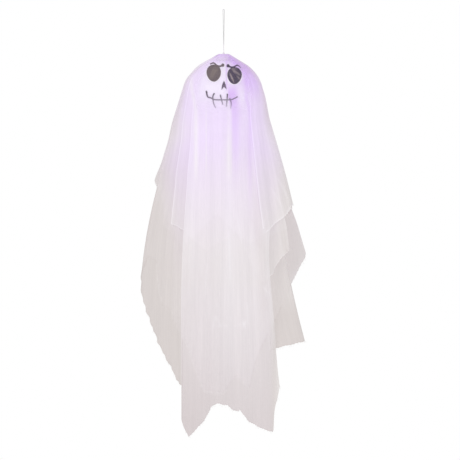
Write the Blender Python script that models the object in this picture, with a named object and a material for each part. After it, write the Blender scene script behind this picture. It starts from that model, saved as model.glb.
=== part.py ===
"""Light-up hanging ghost: a lit translucent head under four sheer drapes, on a looped cord.

Metres, +Z up, the face looks along -Y. The origin is where the loop rests on its hook.
"""

from math import acos, atan2, cos, pi, radians, sin, sqrt

import bmesh
import bpy
from mathutils import Matrix, Vector

# Fits shared by all pieces
CLEARANCE = 0.0003
OVERRUN = 0.002

# Hanging cord: a taut loop above the crown and a tail inside the head
CORD_DIAMETER = 0.0008
LOOP_BEND_RADIUS = 0.0017
LOOP_STRAND_GAP = 0.0003
LOOP_LENGTH = 0.1042
STRAND_STEPS = 13
KNOT_RADIUS = 0.0024
ANCHOR_KNOT_RADIUS = 0.0026
WASHER_RADIUS = 0.0125
WASHER_THICKNESS = 0.0010
EYELET_RADIUS = 0.0042
EYELET_THICKNESS = 0.0008
CORD_BORE = 0.0009

# Head: a hollow ball in two halves, a cap on top and a neck opening below
HEAD_RADIUS = 0.0890
HEAD_WALL = 0.0016
CAP_RISE = 0.0084
CAP_RADIUS = 0.0165
CAP_EDGE = 0.0015
CAP_HOLE_RADIUS = 0.0080
NECK_RADIUS = 0.0310

# Drapes: sheer sheets one over the other, gathered under the eyelet
SHEET_THICKNESS = 0.0005
SHEET_SEAT = 0.0024
SHEET_PITCH = 0.0012
SHEET_SPREAD = 0.0015
SPREAD_DROP = 0.2600
TENT_SLOPE = radians(31)
FLARE_FRONT = 0.0200
FLARE_SIDE = 0.1040
FLARE_DROP = 0.5200
KICK_POWER = 1.6
FOLD_DEPTH = 0.0100
FOLD_DROP = 0.4600
SWAY = radians(11)
SWAY_DROP = 0.6000
DRAPE_LENGTH = 0.9120
ROW_POWER = 1.15

# Face patches: felt, on the front half of the head
PATCH_THICKNESS = 0.0008
PATCH_SEAT = 0.0006
BROW_WIDTH = 0.0034
BROW_BALL_RADIUS = 0.0036
MOUTH_WIDTH = 0.0036
STITCH_WIDTH = 0.0032
RIBBON_TAPER_SHARE = 0.35

# Lamp: collar in the neck, circuit board with its lamps, and a diffuser over them
COLLAR_WALL = 0.0020
COLLAR_FLANGE_RADIUS = 0.0385
COLLAR_FLANGE_THICKNESS = 0.0025
COLLAR_LIP = 0.0014
COLLAR_LIP_HEIGHT = 0.0015
COLLAR_SLEEVE_RISE = 0.0100
DIFFUSER_WALL = 0.0012
DIFFUSER_RISE = 0.0180
BOARD_THICKNESS = 0.0012
BOARD_POST_HEIGHT = 0.0040
BOARD_POST_RADIUS = 0.0026
BOARD_SCREW_CIRCLE = 0.0205
LAMP_RADIUS = 0.0025
LAMP_HEIGHT = 0.0080
LAMP_CIRCLE = 0.0100
LAMP_COUNT = 3

# Battery case: a shallow cup under the collar, open below for the door
CASE_RADIUS = 0.0330
CASE_WALL = 0.0020
CASE_FLANGE_THICKNESS = 0.0022
SCREW_RADIUS = 0.0011
SCREW_HEAD_RADIUS = 0.0021
SCREW_HEAD_HEIGHT = 0.0014
SCREW_COUNT = 3
CELL_RADIUS = 0.00525
CELL_LENGTH = 0.0437
CELL_NUB_RADIUS = 0.0019
CELL_NUB_LENGTH = 0.0008
CELL_COUNT = 3
CELL_SPACING = 0.0110
SPRING_LENGTH = 0.0030
SPRING_RADIUS = 0.0026
SPRING_WIRE = 0.0006
SPRING_TURNS = 2.0
SPRING_TAPER_SHARE = 0.25
CONTACT_THICKNESS = 0.0004
CONTACT_MARGIN = 0.0010
RIB_THICKNESS = 0.0014
WIRE_DIAMETER = 0.0012
WIRE_HOLE_RADIUS = 0.0014
WIRE_CIRCLE = 0.0273
WIRE_TURN = radians(36)
WIRE_TOP_SHARE = 0.75

# Switch: a body under the ceiling of the case, its slider out through the front wall
SWITCH_LENGTH = 0.0120
SWITCH_DEPTH = 0.0060
SWITCH_HEIGHT = 0.0060
SWITCH_SETBACK = 0.0030
SLIDER_LENGTH = 0.0040
SLIDER_HEIGHT = 0.0028
SLIDER_PROUD = 0.0030
SLIDER_TRAVEL = 0.0040
SLIDER_MARGIN = 0.0006

# Battery door: a disc under the case, hinged at the back
DOOR_THICKNESS = 0.0020
HINGE_PIN_RADIUS = 0.0011
HINGE_KNUCKLE_RADIUS = 0.0026
HINGE_OFFSET = 0.0034
HINGE_DOOR_WIDTH = 0.0120
HINGE_LUG_WIDTH = 0.0040
DOOR_TAB_DEPTH = 0.0050
DOOR_TAB_WIDTH = 0.0140

# Levels, from the hook down
KNOT_Z = -LOOP_LENGTH
EYELET_TOP = KNOT_Z - KNOT_RADIUS - CLEARANCE
SHEETS_TOP = EYELET_TOP - EYELET_THICKNESS - CLEARANCE
SHEET_COUNT = 4
CAP_TOP = SHEETS_TOP - (SHEET_COUNT - 1) * SHEET_PITCH - SHEET_THICKNESS - CLEARANCE
HEAD_Z = CAP_TOP - CAP_RISE - HEAD_RADIUS
HEAD_CENTRE = Vector((0, 0, HEAD_Z))
NECK_Z = HEAD_Z - sqrt(HEAD_RADIUS**2 - NECK_RADIUS**2)
FLANGE_TOP = NECK_Z - CLEARANCE
FLANGE_BOTTOM = FLANGE_TOP - COLLAR_FLANGE_THICKNESS
SLEEVE_RADIUS = NECK_RADIUS - CLEARANCE
SLEEVE_TOP = FLANGE_TOP + COLLAR_SLEEVE_RISE
CASE_TOP = FLANGE_BOTTOM - CLEARANCE
CEILING = CASE_TOP - CASE_WALL
CELL_Z = CEILING - CLEARANCE - CELL_RADIUS
CASE_BOTTOM = CELL_Z - CELL_RADIUS - CLEARANCE
BOARD_BOTTOM = CASE_TOP + BOARD_POST_HEIGHT + CLEARANCE
BOARD_TOP = BOARD_BOTTOM + BOARD_THICKNESS
BOARD_RADIUS = SLEEVE_RADIUS - COLLAR_WALL - 2 * CLEARANCE
CASE_INNER = CASE_RADIUS - CASE_WALL
SCREW_CIRCLE = (CASE_RADIUS + COLLAR_FLANGE_RADIUS) / 2
KNOT = Vector((0, 0, KNOT_Z))
HINGE = Vector((0, CASE_RADIUS + HINGE_OFFSET, CASE_BOTTOM - CLEARANCE - DOOR_THICKNESS / 2))

# Round steps: enough for the shape, few enough for a light model
STEPS = 24
EYE_STEPS = 20
SMALL_STEPS = 12
SCREW_STEPS = 10
BALL_STEPS = 8
COLUMN_DEGREES = 7.5
SMOOTH_ANGLE = radians(35)


def clear_scene():
    for obj in list(bpy.data.objects):
        bpy.data.objects.remove(obj, do_unlink=True)


def material(name, colour, roughness, metallic=0.0, alpha=1.0):
    """A plain Principled material, made once for each name."""
    if name in bpy.data.materials:
        return bpy.data.materials[name]
    made = bpy.data.materials.new(name)
    made.use_nodes = True
    made.diffuse_color = (*colour, alpha)
    shader = made.node_tree.nodes["Principled BSDF"]
    shader.inputs["Base Color"].default_value = (*colour, 1)
    shader.inputs["Roughness"].default_value = roughness
    shader.inputs["Metallic"].default_value = metallic
    shader.inputs["Alpha"].default_value = alpha
    return made


def cord_fibre():
    return material("cord_fibre", (0.86, 0.85, 0.84), 0.6)


def zinc_steel():
    return material("zinc_steel", (0.62, 0.62, 0.64), 0.35, metallic=1.0)


def frosted_plastic():
    return material("frosted_plastic", (0.93, 0.91, 0.96), 0.45, alpha=0.85)


def white_plastic():
    return material("white_plastic", (0.88, 0.88, 0.88), 0.4)


def black_plastic():
    return material("black_plastic", (0.04, 0.04, 0.045), 0.45)


def board_laminate():
    return material("board_laminate", (0.05, 0.25, 0.12), 0.4)


def lamp_epoxy():
    return material("lamp_epoxy", (0.62, 0.42, 1.0), 0.15)


def cell_jacket():
    return material("cell_jacket", (0.2, 0.2, 0.22), 0.35)


def dark_felt():
    return material("dark_felt", (0.05, 0.045, 0.05), 0.9)


def sheer_gauze():
    return material("sheer_gauze", (0.86, 0.83, 0.84), 0.85, alpha=0.7)


def wire_insulation(name, colour):
    return material(name, colour, 0.5)


def axis_empty(pivot):
    """The empty on a joint's axis, made once for each place, that carries one body's pieces."""
    name = "axis_at_" + "_".join(f"{abs(length) * 1000:.0f}" for length in pivot)
    if name not in bpy.data.objects:
        empty = bpy.data.objects.new(name, None)
        empty.location = pivot
        bpy.context.scene.collection.objects.link(empty)
    return bpy.data.objects[name]


def place_piece(name, data, pivot, place=(0, 0, 0)):
    obj = bpy.data.objects.new(name, data)
    obj.parent = axis_empty(pivot)
    obj.location = place
    bpy.context.scene.collection.objects.link(obj)
    return obj


def finish(name, mesh, look, pivot=KNOT):
    """Link a named piece, with its origin on the axis that it turns about."""
    mesh.transform(Matrix.Translation(-pivot))
    mesh.shade_smooth()
    mesh.set_sharp_from_angle(angle=SMOOTH_ANGLE)
    mesh.materials.append(look)
    return place_piece(name, mesh, pivot)


def copies(name, mesh, look, places):
    """Like pieces that share one mesh, each its own object."""
    first = finish(f"{name}_1", mesh, look)
    first.location = places[0]
    for number, place in enumerate(places[1:], start=2):
        place_piece(f"{name}_{number}", mesh, KNOT, place)


def to_mesh(name, shape):
    """Turn a bmesh piece's faces out and make it a mesh."""
    bmesh.ops.recalc_face_normals(shape, faces=shape.faces)
    mesh = bpy.data.meshes.new(name)
    shape.to_mesh(mesh)
    shape.free()
    return mesh


def turned(outline, steps, arc=2 * pi, axis="Z"):
    """Spin a (radius, height) outline: closed, or from the axis round to the axis again.

    An arc under a whole turn is only for a closed outline, and gets two flat ends.
    """
    shape = bmesh.new()
    whole = arc == 2 * pi
    solid = outline[0][0] == 0
    points = outline[1:-1] if solid else outline
    rings = []
    for step in range(steps if whole else steps + 1):
        angle = arc * step / steps
        places = [(radius * cos(angle), radius * sin(angle), height) for radius, height in points]
        rings.append([shape.verts.new(place) for place in places])
    following = rings[1:] + rings[:1] if whole else rings[1:]
    segments = len(points) - 1 if solid else len(points)
    for ring, beside in zip(rings, following):
        for here in range(segments):
            there = (here + 1) % len(points)
            shape.faces.new([ring[here], beside[here], beside[there], ring[there]])
    if not whole:
        shape.faces.new(rings[0])
        shape.faces.new(rings[-1])
    if solid:
        for index in (0, -1):
            rim = [ring[index] for ring in rings]
            height = outline[index][1]
            if height == points[index][1]:
                shape.faces.new(rim)
                continue
            pole = shape.verts.new((0, 0, height))
            for here, beside in zip(rim, rim[1:] + rim[:1]):
                shape.faces.new([here, beside, pole])
    if axis == "X":
        bmesh.ops.rotate(shape, verts=shape.verts, matrix=Matrix.Rotation(pi / 2, 3, "Y"))
    return shape


def prism(outline, low, high):
    """Extrude a (y, z) outline along X."""
    shape = bmesh.new()
    ends = [[shape.verts.new((x, y, z)) for y, z in outline] for x in (low, high)]
    for end in ends:
        shape.faces.new(end)
    for here in range(len(outline)):
        there = (here + 1) % len(outline)
        shape.faces.new([ends[0][here], ends[0][there], ends[1][there], ends[1][here]])
    return shape


def moved(shape, place):
    bmesh.ops.translate(shape, verts=shape.verts, vec=Vector(place))
    return shape


def block(low, high):
    """A box between two corners."""
    shape = bmesh.new()
    bmesh.ops.create_cube(shape, size=1)
    low, high = Vector(low), Vector(high)
    bmesh.ops.scale(shape, verts=shape.verts, vec=high - low)
    return moved(shape, (low + high) / 2)


def rod(radius, low, high, steps=SMALL_STEPS, axis="Z"):
    return turned([(0, low), (radius, low), (radius, high), (0, high)], steps, axis=axis)


def holes(places, low, high, radius=SCREW_RADIUS + CLEARANCE):
    """Upright cutters, one at each place."""
    return joined([moved(rod(radius, low, high), place) for place in places])


def knuckle(root, start, end):
    """Outline of a hinge knuckle: points of its root, highest last, and the round end."""
    turns = [start + (end - start) * step / BALL_STEPS for step in range(BALL_STEPS + 1)]
    turns = [radians(turn) for turn in turns]
    radius = HINGE_KNUCKLE_RADIUS
    return [*root, *((HINGE.y + radius * cos(a), HINGE.z + radius * sin(a)) for a in turns)]


def joined(shapes):
    """Several separate bodies in one bmesh."""
    whole = bmesh.new()
    for shape in shapes:
        mesh = to_mesh("joined", shape)
        whole.from_mesh(mesh)
        bpy.data.meshes.remove(mesh)
    return whole


def combine(obj, shape, operation):
    """Boolean a hidden helper into, or out of, a piece."""
    helper = bpy.data.objects.new(f"{obj.name}_{operation.lower()}", to_mesh("helper", shape))
    helper.hide_render = True
    helper.display_type = "WIRE"
    bpy.context.scene.collection.objects.link(helper)
    change = obj.modifiers.new(operation.title(), "BOOLEAN")
    change.operation = operation
    change.object = helper


def around(count, radius, start=0.0):
    """Places on a circle."""
    turns = [start + 2 * pi * index / count for index in range(count)]
    return [Vector((radius * cos(turn), radius * sin(turn), 0)) for turn in turns]


def smooth_points(controls, pieces):
    """Points along a smooth curve through the control points."""
    padded = [2 * controls[0] - controls[1], *controls, 2 * controls[-1] - controls[-2]]
    points = []
    for before, start, end, after in zip(padded, padded[1:], padded[2:], padded[3:]):
        for step in range(pieces):
            t = step / pieces
            bend = 2 * before - 5 * start + 4 * end - after
            twist = 3 * start - before - 3 * end + after
            points.append((2 * start + (end - before) * t + bend * t**2 + twist * t**3) / 2)
    return [*points, controls[-1]]


def tube(name, points, diameter, look, pivot=KNOT, sides=2):
    """A capped round tube along the points."""
    line = bpy.data.curves.new(name, "CURVE")
    line.dimensions = "3D"
    line.bevel_depth = diameter / 2
    line.bevel_resolution = sides
    line.use_fill_caps = True
    run = line.splines.new("POLY")
    run.points.add(len(points) - 1)
    for point, place in zip(run.points, points):
        point.co = (*(place - pivot), 1)
    line.materials.append(look)
    return place_piece(name, line, pivot)


def sphere_profile(radius, centre):
    """Outline of a ball from its lowest to its highest point."""
    angles = [-pi / 2 + pi * step / BALL_STEPS for step in range(BALL_STEPS + 1)]
    inner = [(radius * cos(angle), centre + radius * sin(angle)) for angle in angles[1:-1]]
    return [(0, centre - radius), *inner, (0, centre + radius)]


def hanging_cord():
    """Loop over the hook, crown knot, tail through the crown, washer and knot in the head."""
    cord = CORD_DIAMETER / 2
    foot = cord + LOOP_STRAND_GAP / 2
    bend_z = cord - LOOP_BEND_RADIUS
    low = KNOT_Z + KNOT_RADIUS + CLEARANCE
    shares = [step / STRAND_STEPS for step in range(STRAND_STEPS)]
    strand = [(foot + (LOOP_BEND_RADIUS - foot) * t**2, low + (bend_z - low) * t) for t in shares]
    bend = [pi * step / BALL_STEPS for step in range(BALL_STEPS + 1)]
    bend = [(LOOP_BEND_RADIUS * cos(a), bend_z + LOOP_BEND_RADIUS * sin(a)) for a in bend]
    loop = [*strand, *bend, *((-x, z) for x, z in reversed(strand))]
    points = [Vector((x, 0, z)) for x, z in loop]
    tube("hang_loop", points, CORD_DIAMETER, cord_fibre(), Vector())

    knot = turned(sphere_profile(KNOT_RADIUS, KNOT_Z), SMALL_STEPS)
    finish("crown_knot", to_mesh("crown_knot", knot), cord_fibre())

    washer_top = HEAD_Z + sqrt((HEAD_RADIUS - HEAD_WALL) ** 2 - WASHER_RADIUS**2) - CLEARANCE
    washer_bottom = washer_top - WASHER_THICKNESS
    tail_end = washer_bottom - CLEARANCE
    tail = [Vector((0, 0, KNOT_Z - KNOT_RADIUS - CLEARANCE)), Vector((0, 0, tail_end))]
    tube("cord_tail", tail, CORD_DIAMETER, cord_fibre())
    ring = [
        (CORD_BORE, washer_bottom),
        (WASHER_RADIUS, washer_bottom),
        (WASHER_RADIUS, washer_top),
        (CORD_BORE, washer_top),
    ]
    finish("anchor_washer", to_mesh("anchor_washer", turned(ring, SMALL_STEPS)), zinc_steel())
    centre = tail_end - CLEARANCE - ANCHOR_KNOT_RADIUS
    stopper = turned(sphere_profile(ANCHOR_KNOT_RADIUS, centre), SMALL_STEPS)
    finish("anchor_knot", to_mesh("anchor_knot", stopper), cord_fibre())

    bottom = EYELET_TOP - EYELET_THICKNESS
    outline = [
        (CORD_BORE, bottom),
        (EYELET_RADIUS, bottom),
        (EYELET_RADIUS, EYELET_TOP - EYELET_THICKNESS / 2),
        (EYELET_RADIUS - EYELET_THICKNESS / 2, EYELET_TOP),
        (CORD_BORE, EYELET_TOP),
    ]
    finish("crown_eyelet", to_mesh("crown_eyelet", turned(outline, SMALL_STEPS)), white_plastic())
    return washer_top


def ball_arc(radius):
    """(radius, height) points on a ball, from its neck opening up to its crown opening.

    A ring of corners lies over the rim of the anchor washer, which seats there.
    """
    start, end = -acos(NECK_RADIUS / radius), acos(WASHER_RADIUS / radius)
    angles = [start + (end - start) * step / SMALL_STEPS for step in range(SMALL_STEPS + 1)]
    angles.append(acos(CAP_HOLE_RADIUS / radius))
    return [(radius * cos(angle), HEAD_Z + radius * sin(angle)) for angle in angles]


def head_shells():
    """Two halves of the hollow ball, which meet in the plane through both openings."""
    outline = ball_arc(HEAD_RADIUS) + list(reversed(ball_arc(HEAD_RADIUS - HEAD_WALL)))
    for name, turn, side in (("head_back_shell", 0, 1), ("head_front_shell", pi, -1)):
        half = turned(outline, SMALL_STEPS, arc=pi)
        bmesh.ops.rotate(half, verts=half.verts, matrix=Matrix.Rotation(turn, 3, "Z"))
        moved(half, (0, side * CLEARANCE / 2, 0))
        finish(name, to_mesh(name, half), frosted_plastic())


def hanger_cap(washer_top):
    """Cap in the crown opening, which lifts the drapes into a tent and guides the cord."""
    seat = HEAD_RADIUS + CLEARANCE
    stem = CAP_HOLE_RADIUS - 2 * CLEARANCE
    under = [stem + (CAP_RADIUS - stem) * step / 3 for step in range(4)]
    outline = [(CORD_BORE, washer_top + CLEARANCE), (stem, washer_top + CLEARANCE)]
    outline += [(radius, HEAD_Z + sqrt(seat**2 - radius**2)) for radius in under]
    outline += [
        (CAP_RADIUS, CAP_TOP - CAP_EDGE),
        (CAP_RADIUS - CAP_EDGE / 3, CAP_TOP - CAP_EDGE / 3),
        (CAP_RADIUS - CAP_EDGE, CAP_TOP),
        (CORD_BORE, CAP_TOP),
    ]
    finish("hanger_cap", to_mesh("hanger_cap", turned(outline, STEPS)), white_plastic())


def on_head(across, up, height):
    """A point over the front of the ball, from shares of its radius and a height above it."""
    depth = sqrt(1 - across**2 - up**2)
    return HEAD_CENTRE + Vector((across, -depth, up)) * (HEAD_RADIUS + height)


def patch(rings, thickness=PATCH_THICKNESS):
    """A curved plate over the head from rings of shares, the last ring one point."""
    shape = bmesh.new()
    skins = []
    for height in (PATCH_SEAT, PATCH_SEAT + thickness):
        loops = [[shape.verts.new(on_head(*share, height)) for share in ring] for ring in rings]
        skins.append(loops)
        for loop, inner in zip(loops, loops[1:]):
            for index in range(len(loop)):
                following = (index + 1) % len(loop)
                corners = [loop[index], loop[following]]
                corners += [inner[following % len(inner)], inner[index % len(inner)]]
                shape.faces.new(list(dict.fromkeys(corners)))
    low, high = skins[0][0], skins[1][0]
    for index in range(len(low)):
        following = (index + 1) % len(low)
        shape.faces.new([low[index], low[following], high[following], high[index]])
    return shape


def egg(centre_share, half_width_share, half_height_share, taper_share, size, steps):
    """A ring of shares, narrower below, at this size about its centre."""
    across, up = centre_share
    points = []
    for step in range(steps):
        angle = 2 * pi * step / steps
        width = half_width_share * (1 + taper_share * sin(angle))
        points.append((across + size * width * cos(angle), up + size * half_height_share * sin(angle)))
    return points


def eye(name, centre_share, brow_shares):
    """An egg-shaped eye in one patch with its curled brow and the ball on the brow's end."""
    half_width, half_height = EYE_SIZE_SHARES
    rings = [
        egg(centre_share, half_width, half_height, EYE_TAPER_SHARE, size, EYE_STEPS)
        for size in EYE_RING_SHARES
    ]
    obj = finish(name, to_mesh(name, patch([*rings, [centre_share]])), dark_felt())
    proud = PATCH_THICKNESS + CLEARANCE / 2
    combine(obj, ribbon(brow_shares, BROW_WIDTH, proud, pieces=3), "UNION")
    ball = BROW_BALL_RADIUS / HEAD_RADIUS
    rim = egg(brow_shares[0], ball, ball, 0, 1, SCREW_STEPS)
    combine(obj, patch([rim, [brow_shares[0]]], proud + CLEARANCE / 2), "UNION")


def ribbon(line_shares, width, thickness=PATCH_THICKNESS, pieces=4):
    """A curved strip over the head along a smooth line, narrower at its far end."""
    controls = [Vector((across, up, 0)) for across, up in line_shares]
    points = smooth_points(controls, pieces)
    shape = bmesh.new()
    sections = []
    for index, point in enumerate(points):
        ahead = points[min(index + 1, len(points) - 1)]
        behind = points[max(index - 1, 0)]
        side = (ahead - behind).normalized().cross(Vector((0, 0, 1)))
        side *= width / HEAD_RADIUS / 2 * (1 - RIBBON_TAPER_SHARE * index / len(points))
        corners = []
        for edge, height in ((-1, 0), (1, 0), (1, thickness), (-1, thickness)):
            place = point + edge * side
            corners.append(shape.verts.new(on_head(place.x, place.y, PATCH_SEAT + height)))
        sections.append(corners)
    for section, following in zip(sections, sections[1:]):
        for index in range(4):
            beside = (index + 1) % 4
            corners = [section[index], section[beside], following[beside], following[index]]
            shape.faces.new(corners)
    shape.faces.new(sections[0])
    shape.faces.new(sections[-1])
    return shape


# Places on the head in shares of its radius, from its centre: across and up
LEFT_EYE_SHARES = (-0.263, 0.638)
RIGHT_EYE_SHARES = (0.287, 0.571)
EYE_SIZE_SHARES = (0.190, 0.226)
EYE_RING_SHARES = (1, 0.62, 0.28)
EYE_TAPER_SHARE = 0.12
LEFT_BROW_SHARES = (
    (-0.024, 0.850),
    (-0.099, 0.822),
    (-0.180, 0.840),
    (-0.265, 0.912),
    (-0.367, 0.882),
)
RIGHT_BROW_SHARES = (
    (0.115, 0.834),
    (0.196, 0.797),
    (0.276, 0.806),
    (0.365, 0.853),
    (0.469, 0.785),
)
NOSE_SHARES = (
    (0.008, 0.437),
    (-0.040, 0.330),
    (-0.062, 0.196),
    (0.008, 0.270),
    (0.077, 0.206),
    (0.050, 0.330),
)
NOSE_CENTRE_SHARES = (0.008, 0.330)
MOUTH_SHARES = (
    (-0.461, 0.169),
    (-0.426, 0.011),
    (-0.349, -0.016),
    (-0.236, -0.067),
    (-0.072, -0.072),
    (0.115, -0.072),
    (0.223, -0.062),
    (0.370, 0.011),
)
STITCH_SHARES = (
    ((-0.245, 0.102), (-0.290, 0.008), (-0.263, -0.180), (-0.209, -0.287)),
    ((-0.091, 0.062), (-0.060, -0.060), (-0.024, -0.198)),
    ((0.099, 0.088), (0.088, -0.080), (0.070, -0.255)),
    ((0.158, -0.030), (0.200, -0.160), (0.182, -0.303)),
)


def face():
    """Eyes, brows, nose and a stitched mouth, each its own felt patch."""
    eye("left_eye", LEFT_EYE_SHARES, LEFT_BROW_SHARES)
    eye("right_eye", RIGHT_EYE_SHARES, RIGHT_BROW_SHARES)
    centre = Vector(NOSE_CENTRE_SHARES)
    halfway = [tuple((Vector(point) + centre) / 2) for point in NOSE_SHARES]
    nose = patch([list(NOSE_SHARES), halfway, [NOSE_CENTRE_SHARES]])
    finish("nose", to_mesh("nose", nose), dark_felt())
    line = ribbon(MOUTH_SHARES, MOUTH_WIDTH, pieces=2)
    mouth = finish("mouth", to_mesh("mouth", line), dark_felt())
    proud = PATCH_THICKNESS + CLEARANCE / 2
    for stitch_shares in STITCH_SHARES:
        combine(mouth, ribbon(stitch_shares, STITCH_WIDTH, proud, pieces=2), "UNION")


def ease(share):
    share = min(max(share, 0), 1)
    return share * share * (3 - 2 * share)


def flare(turn):
    """How far a drape ends outside the head: little in front and behind, most at the sides."""
    return FLARE_FRONT + (FLARE_SIDE - FLARE_FRONT) * sin(turn) ** 4


def fold(turn):
    """Main folds around the head, from -1 to 1."""
    return 0.6 * cos(9 * turn + 0.5) + 0.4 * cos(13 * turn + 2.1)


def over_head(turn, layer):
    """(radius, height) points of a sheet from the eyelet to where it leaves the ball."""
    ball = HEAD_RADIUS + SHEET_SEAT + SHEET_THICKNESS / 2 + layer * SHEET_PITCH
    top = SHEETS_TOP - SHEET_THICKNESS / 2 - (SHEET_COUNT - 1 - layer) * SHEET_PITCH
    leave = atan2(1, 1.5 * flare(turn) / FLARE_DROP)
    bends = [TENT_SLOPE + (leave - TENT_SLOPE) * step / 4 for step in range(5)]
    path = [(2 * CORD_BORE, top), (CAP_RADIUS, top)]
    return path + [(ball * sin(bend), HEAD_Z + ball * cos(bend)) for bend in bends]


def hanging(turn, drop, layer, kick):
    """A point of a sheet, this far below where it leaves the ball.

    A sheet with a kick hangs in close, and swings out only towards its hem.
    """
    radius, height = over_head(turn, layer)[-1]
    share = min(drop / FLARE_DROP, 1)
    spread = (drop / kick) ** KICK_POWER if kick else 1.5 * share - 0.5 * share**3
    radius += flare(turn) * spread
    radius += layer * SHEET_SPREAD * ease(drop / SPREAD_DROP)
    radius += FOLD_DEPTH * ease(drop / FOLD_DROP) * fold(turn)
    side = turn + SWAY * ease(drop / SWAY_DROP) * max(0, sin(2 * turn)) * max(0, cos(turn))
    return Vector((radius * sin(side), -radius * cos(side), height - drop))


def share_at(stations, degrees):
    """Straight-line value between (degrees, value) stations."""
    for (start, low), (end, high) in zip(stations, stations[1:]):
        if start <= degrees <= end:
            return low + (high - low) * (degrees - start) / (end - start)
    raise ValueError("no station reaches this far round")


def steps_round(first, last):
    """Columns of a sheet, in degrees round the head, all sheets in step."""
    count = round((last - first) / COLUMN_DEGREES)
    return [first + COLUMN_DEGREES * step for step in range(count + 1)]


def drape(name, layer, panels, rows, kicks=None):
    """One sheet: a collar round the eyelet, and the panels that hang from it.

    A panel is its hem, as (degrees round the head, share of the drape length) stations.
    """
    shape = bmesh.new()
    grid = {}

    def column(degrees, places):
        for row, place in enumerate(places):
            if (degrees % 360, row) not in grid:
                grid[degrees % 360, row] = shape.verts.new(place)
        return [grid[degrees % 360, row] for row in range(len(places))]

    def weave(columns, first):
        for left, right in zip(columns, columns[1:]):
            for row in range(first, len(left) - 1):
                shape.faces.new([left[row], right[row], right[row + 1], left[row + 1]])

    def places(degrees, hem, kick):
        turn = radians(degrees)
        path = over_head(turn, layer)
        corners = [Vector((out * sin(turn), -out * cos(turn), height)) for out, height in path]
        if hem is None:
            return corners[:3]
        length = DRAPE_LENGTH * share_at(hem, degrees) - (KNOT_Z - path[-1][1])
        drops = [length * (row / rows) ** ROW_POWER for row in range(1, rows + 1)]
        return corners + [hanging(turn, drop, layer, kick) for drop in drops]

    weave([column(degrees, places(degrees, None, None)) for degrees in steps_round(0, 360)], 0)
    for hem, kick in zip(panels, kicks or [None] * len(panels)):
        turns = steps_round(hem[0][0], hem[-1][0])
        weave([column(degrees, places(degrees, hem, kick)) for degrees in turns], 2)
    obj = finish(name, to_mesh(name, shape), sheer_gauze())
    solid = obj.modifiers.new("Solidify", "SOLIDIFY")
    solid.thickness = SHEET_THICKNESS
    solid.offset = 0


# Hems: degrees round the head from the front, rightwards, and shares of the drape length
SIDE_LEFT_SHARES = (
    (225, 0.700),
    (240, 0.660),
    (255, 0.545),
    (262.5, 0.535),
    (270, 0.585),
    (277.5, 0.650),
    (285, 0.702),
    (292.5, 0.755),
    (300, 0.805),
    (307.5, 0.853),
    (315, 0.876),
)
SIDE_RIGHT_SHARES = ((45, 0.778), (60, 0.768), (75, 0.754), (82.5, 0.750))
INNER_FRONT_SHARES = (
    (-60, 0.446),
    (-45, 0.465),
    (-22.5, 0.520),
    (15, 0.470),
    (37.5, 0.572),
    (52.5, 0.545),
    (67.5, 0.503),
)
INNER_BACK_SHARES = ((112.5, 0.460), (150, 0.500), (187.5, 0.420), (225, 0.500), (247.5, 0.440))
FRONT_SHARES = (
    (-45, 0.958),
    (-37.5, 1.003),
    (-30, 0.976),
    (-22.5, 0.952),
    (-15, 0.925),
    (-7.5, 0.915),
    (7.5, 0.925),
    (15, 0.936),
    (22.5, 0.955),
    (37.5, 0.980),
    (45, 0.990),
    (52.5, 0.905),
)
BACK_SHARES = (
    (97.5, 0.521),
    (112.5, 0.600),
    (127.5, 0.705),
    (150, 0.880),
    (165, 0.845),
    (180, 0.890),
    (202.5, 0.885),
    (217.5, 0.800),
    (232.5, 0.700),
)
OUTER_SHARES = (
    (37.5, 0.480),
    (45, 0.468),
    (60, 0.443),
    (90, 0.398),
    (112.5, 0.425),
    (135, 0.490),
    (180, 0.400),
    (225, 0.490),
    (247.5, 0.410),
    (270, 0.343),
)


def drapes():
    """Two long sheets that cross over the crown, and a short veil over each."""
    reach = DRAPE_LENGTH * SIDE_RIGHT_SHARES[-1][1] - HEAD_RADIUS
    drape("side_drape", 0, [SIDE_LEFT_SHARES, SIDE_RIGHT_SHARES], 8, kicks=[None, reach])
    drape("inner_veil", 1, [INNER_FRONT_SHARES, INNER_BACK_SHARES], 4)
    drape("front_back_drape", 2, [FRONT_SHARES, BACK_SHARES], 8)
    drape("outer_veil", 3, [OUTER_SHARES], 4)


def lamp_collar():
    """Ring snapped into the neck, with the flange that the battery case screws to."""
    bore = SLEEVE_RADIUS - COLLAR_WALL
    inner_wall = HEAD_Z - sqrt((HEAD_RADIUS - HEAD_WALL) ** 2 - (NECK_RADIUS + COLLAR_LIP) ** 2)
    lip = inner_wall + 2 * CLEARANCE
    outline = [
        (bore, FLANGE_BOTTOM),
        (COLLAR_FLANGE_RADIUS, FLANGE_BOTTOM),
        (COLLAR_FLANGE_RADIUS, FLANGE_TOP),
        (SLEEVE_RADIUS, FLANGE_TOP),
        (SLEEVE_RADIUS, lip),
        (SLEEVE_RADIUS + COLLAR_LIP, lip),
        (SLEEVE_RADIUS, lip + COLLAR_LIP_HEIGHT),
        (SLEEVE_RADIUS, SLEEVE_TOP),
        (bore, SLEEVE_TOP),
    ]
    ring = to_mesh("lamp_collar", turned(outline, STEPS))
    collar = finish("lamp_collar", ring, white_plastic())
    low, high = FLANGE_BOTTOM - OVERRUN, FLANGE_TOP + OVERRUN
    combine(collar, holes(around(SCREW_COUNT, SCREW_CIRCLE), low, high), "DIFFERENCE")


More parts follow.
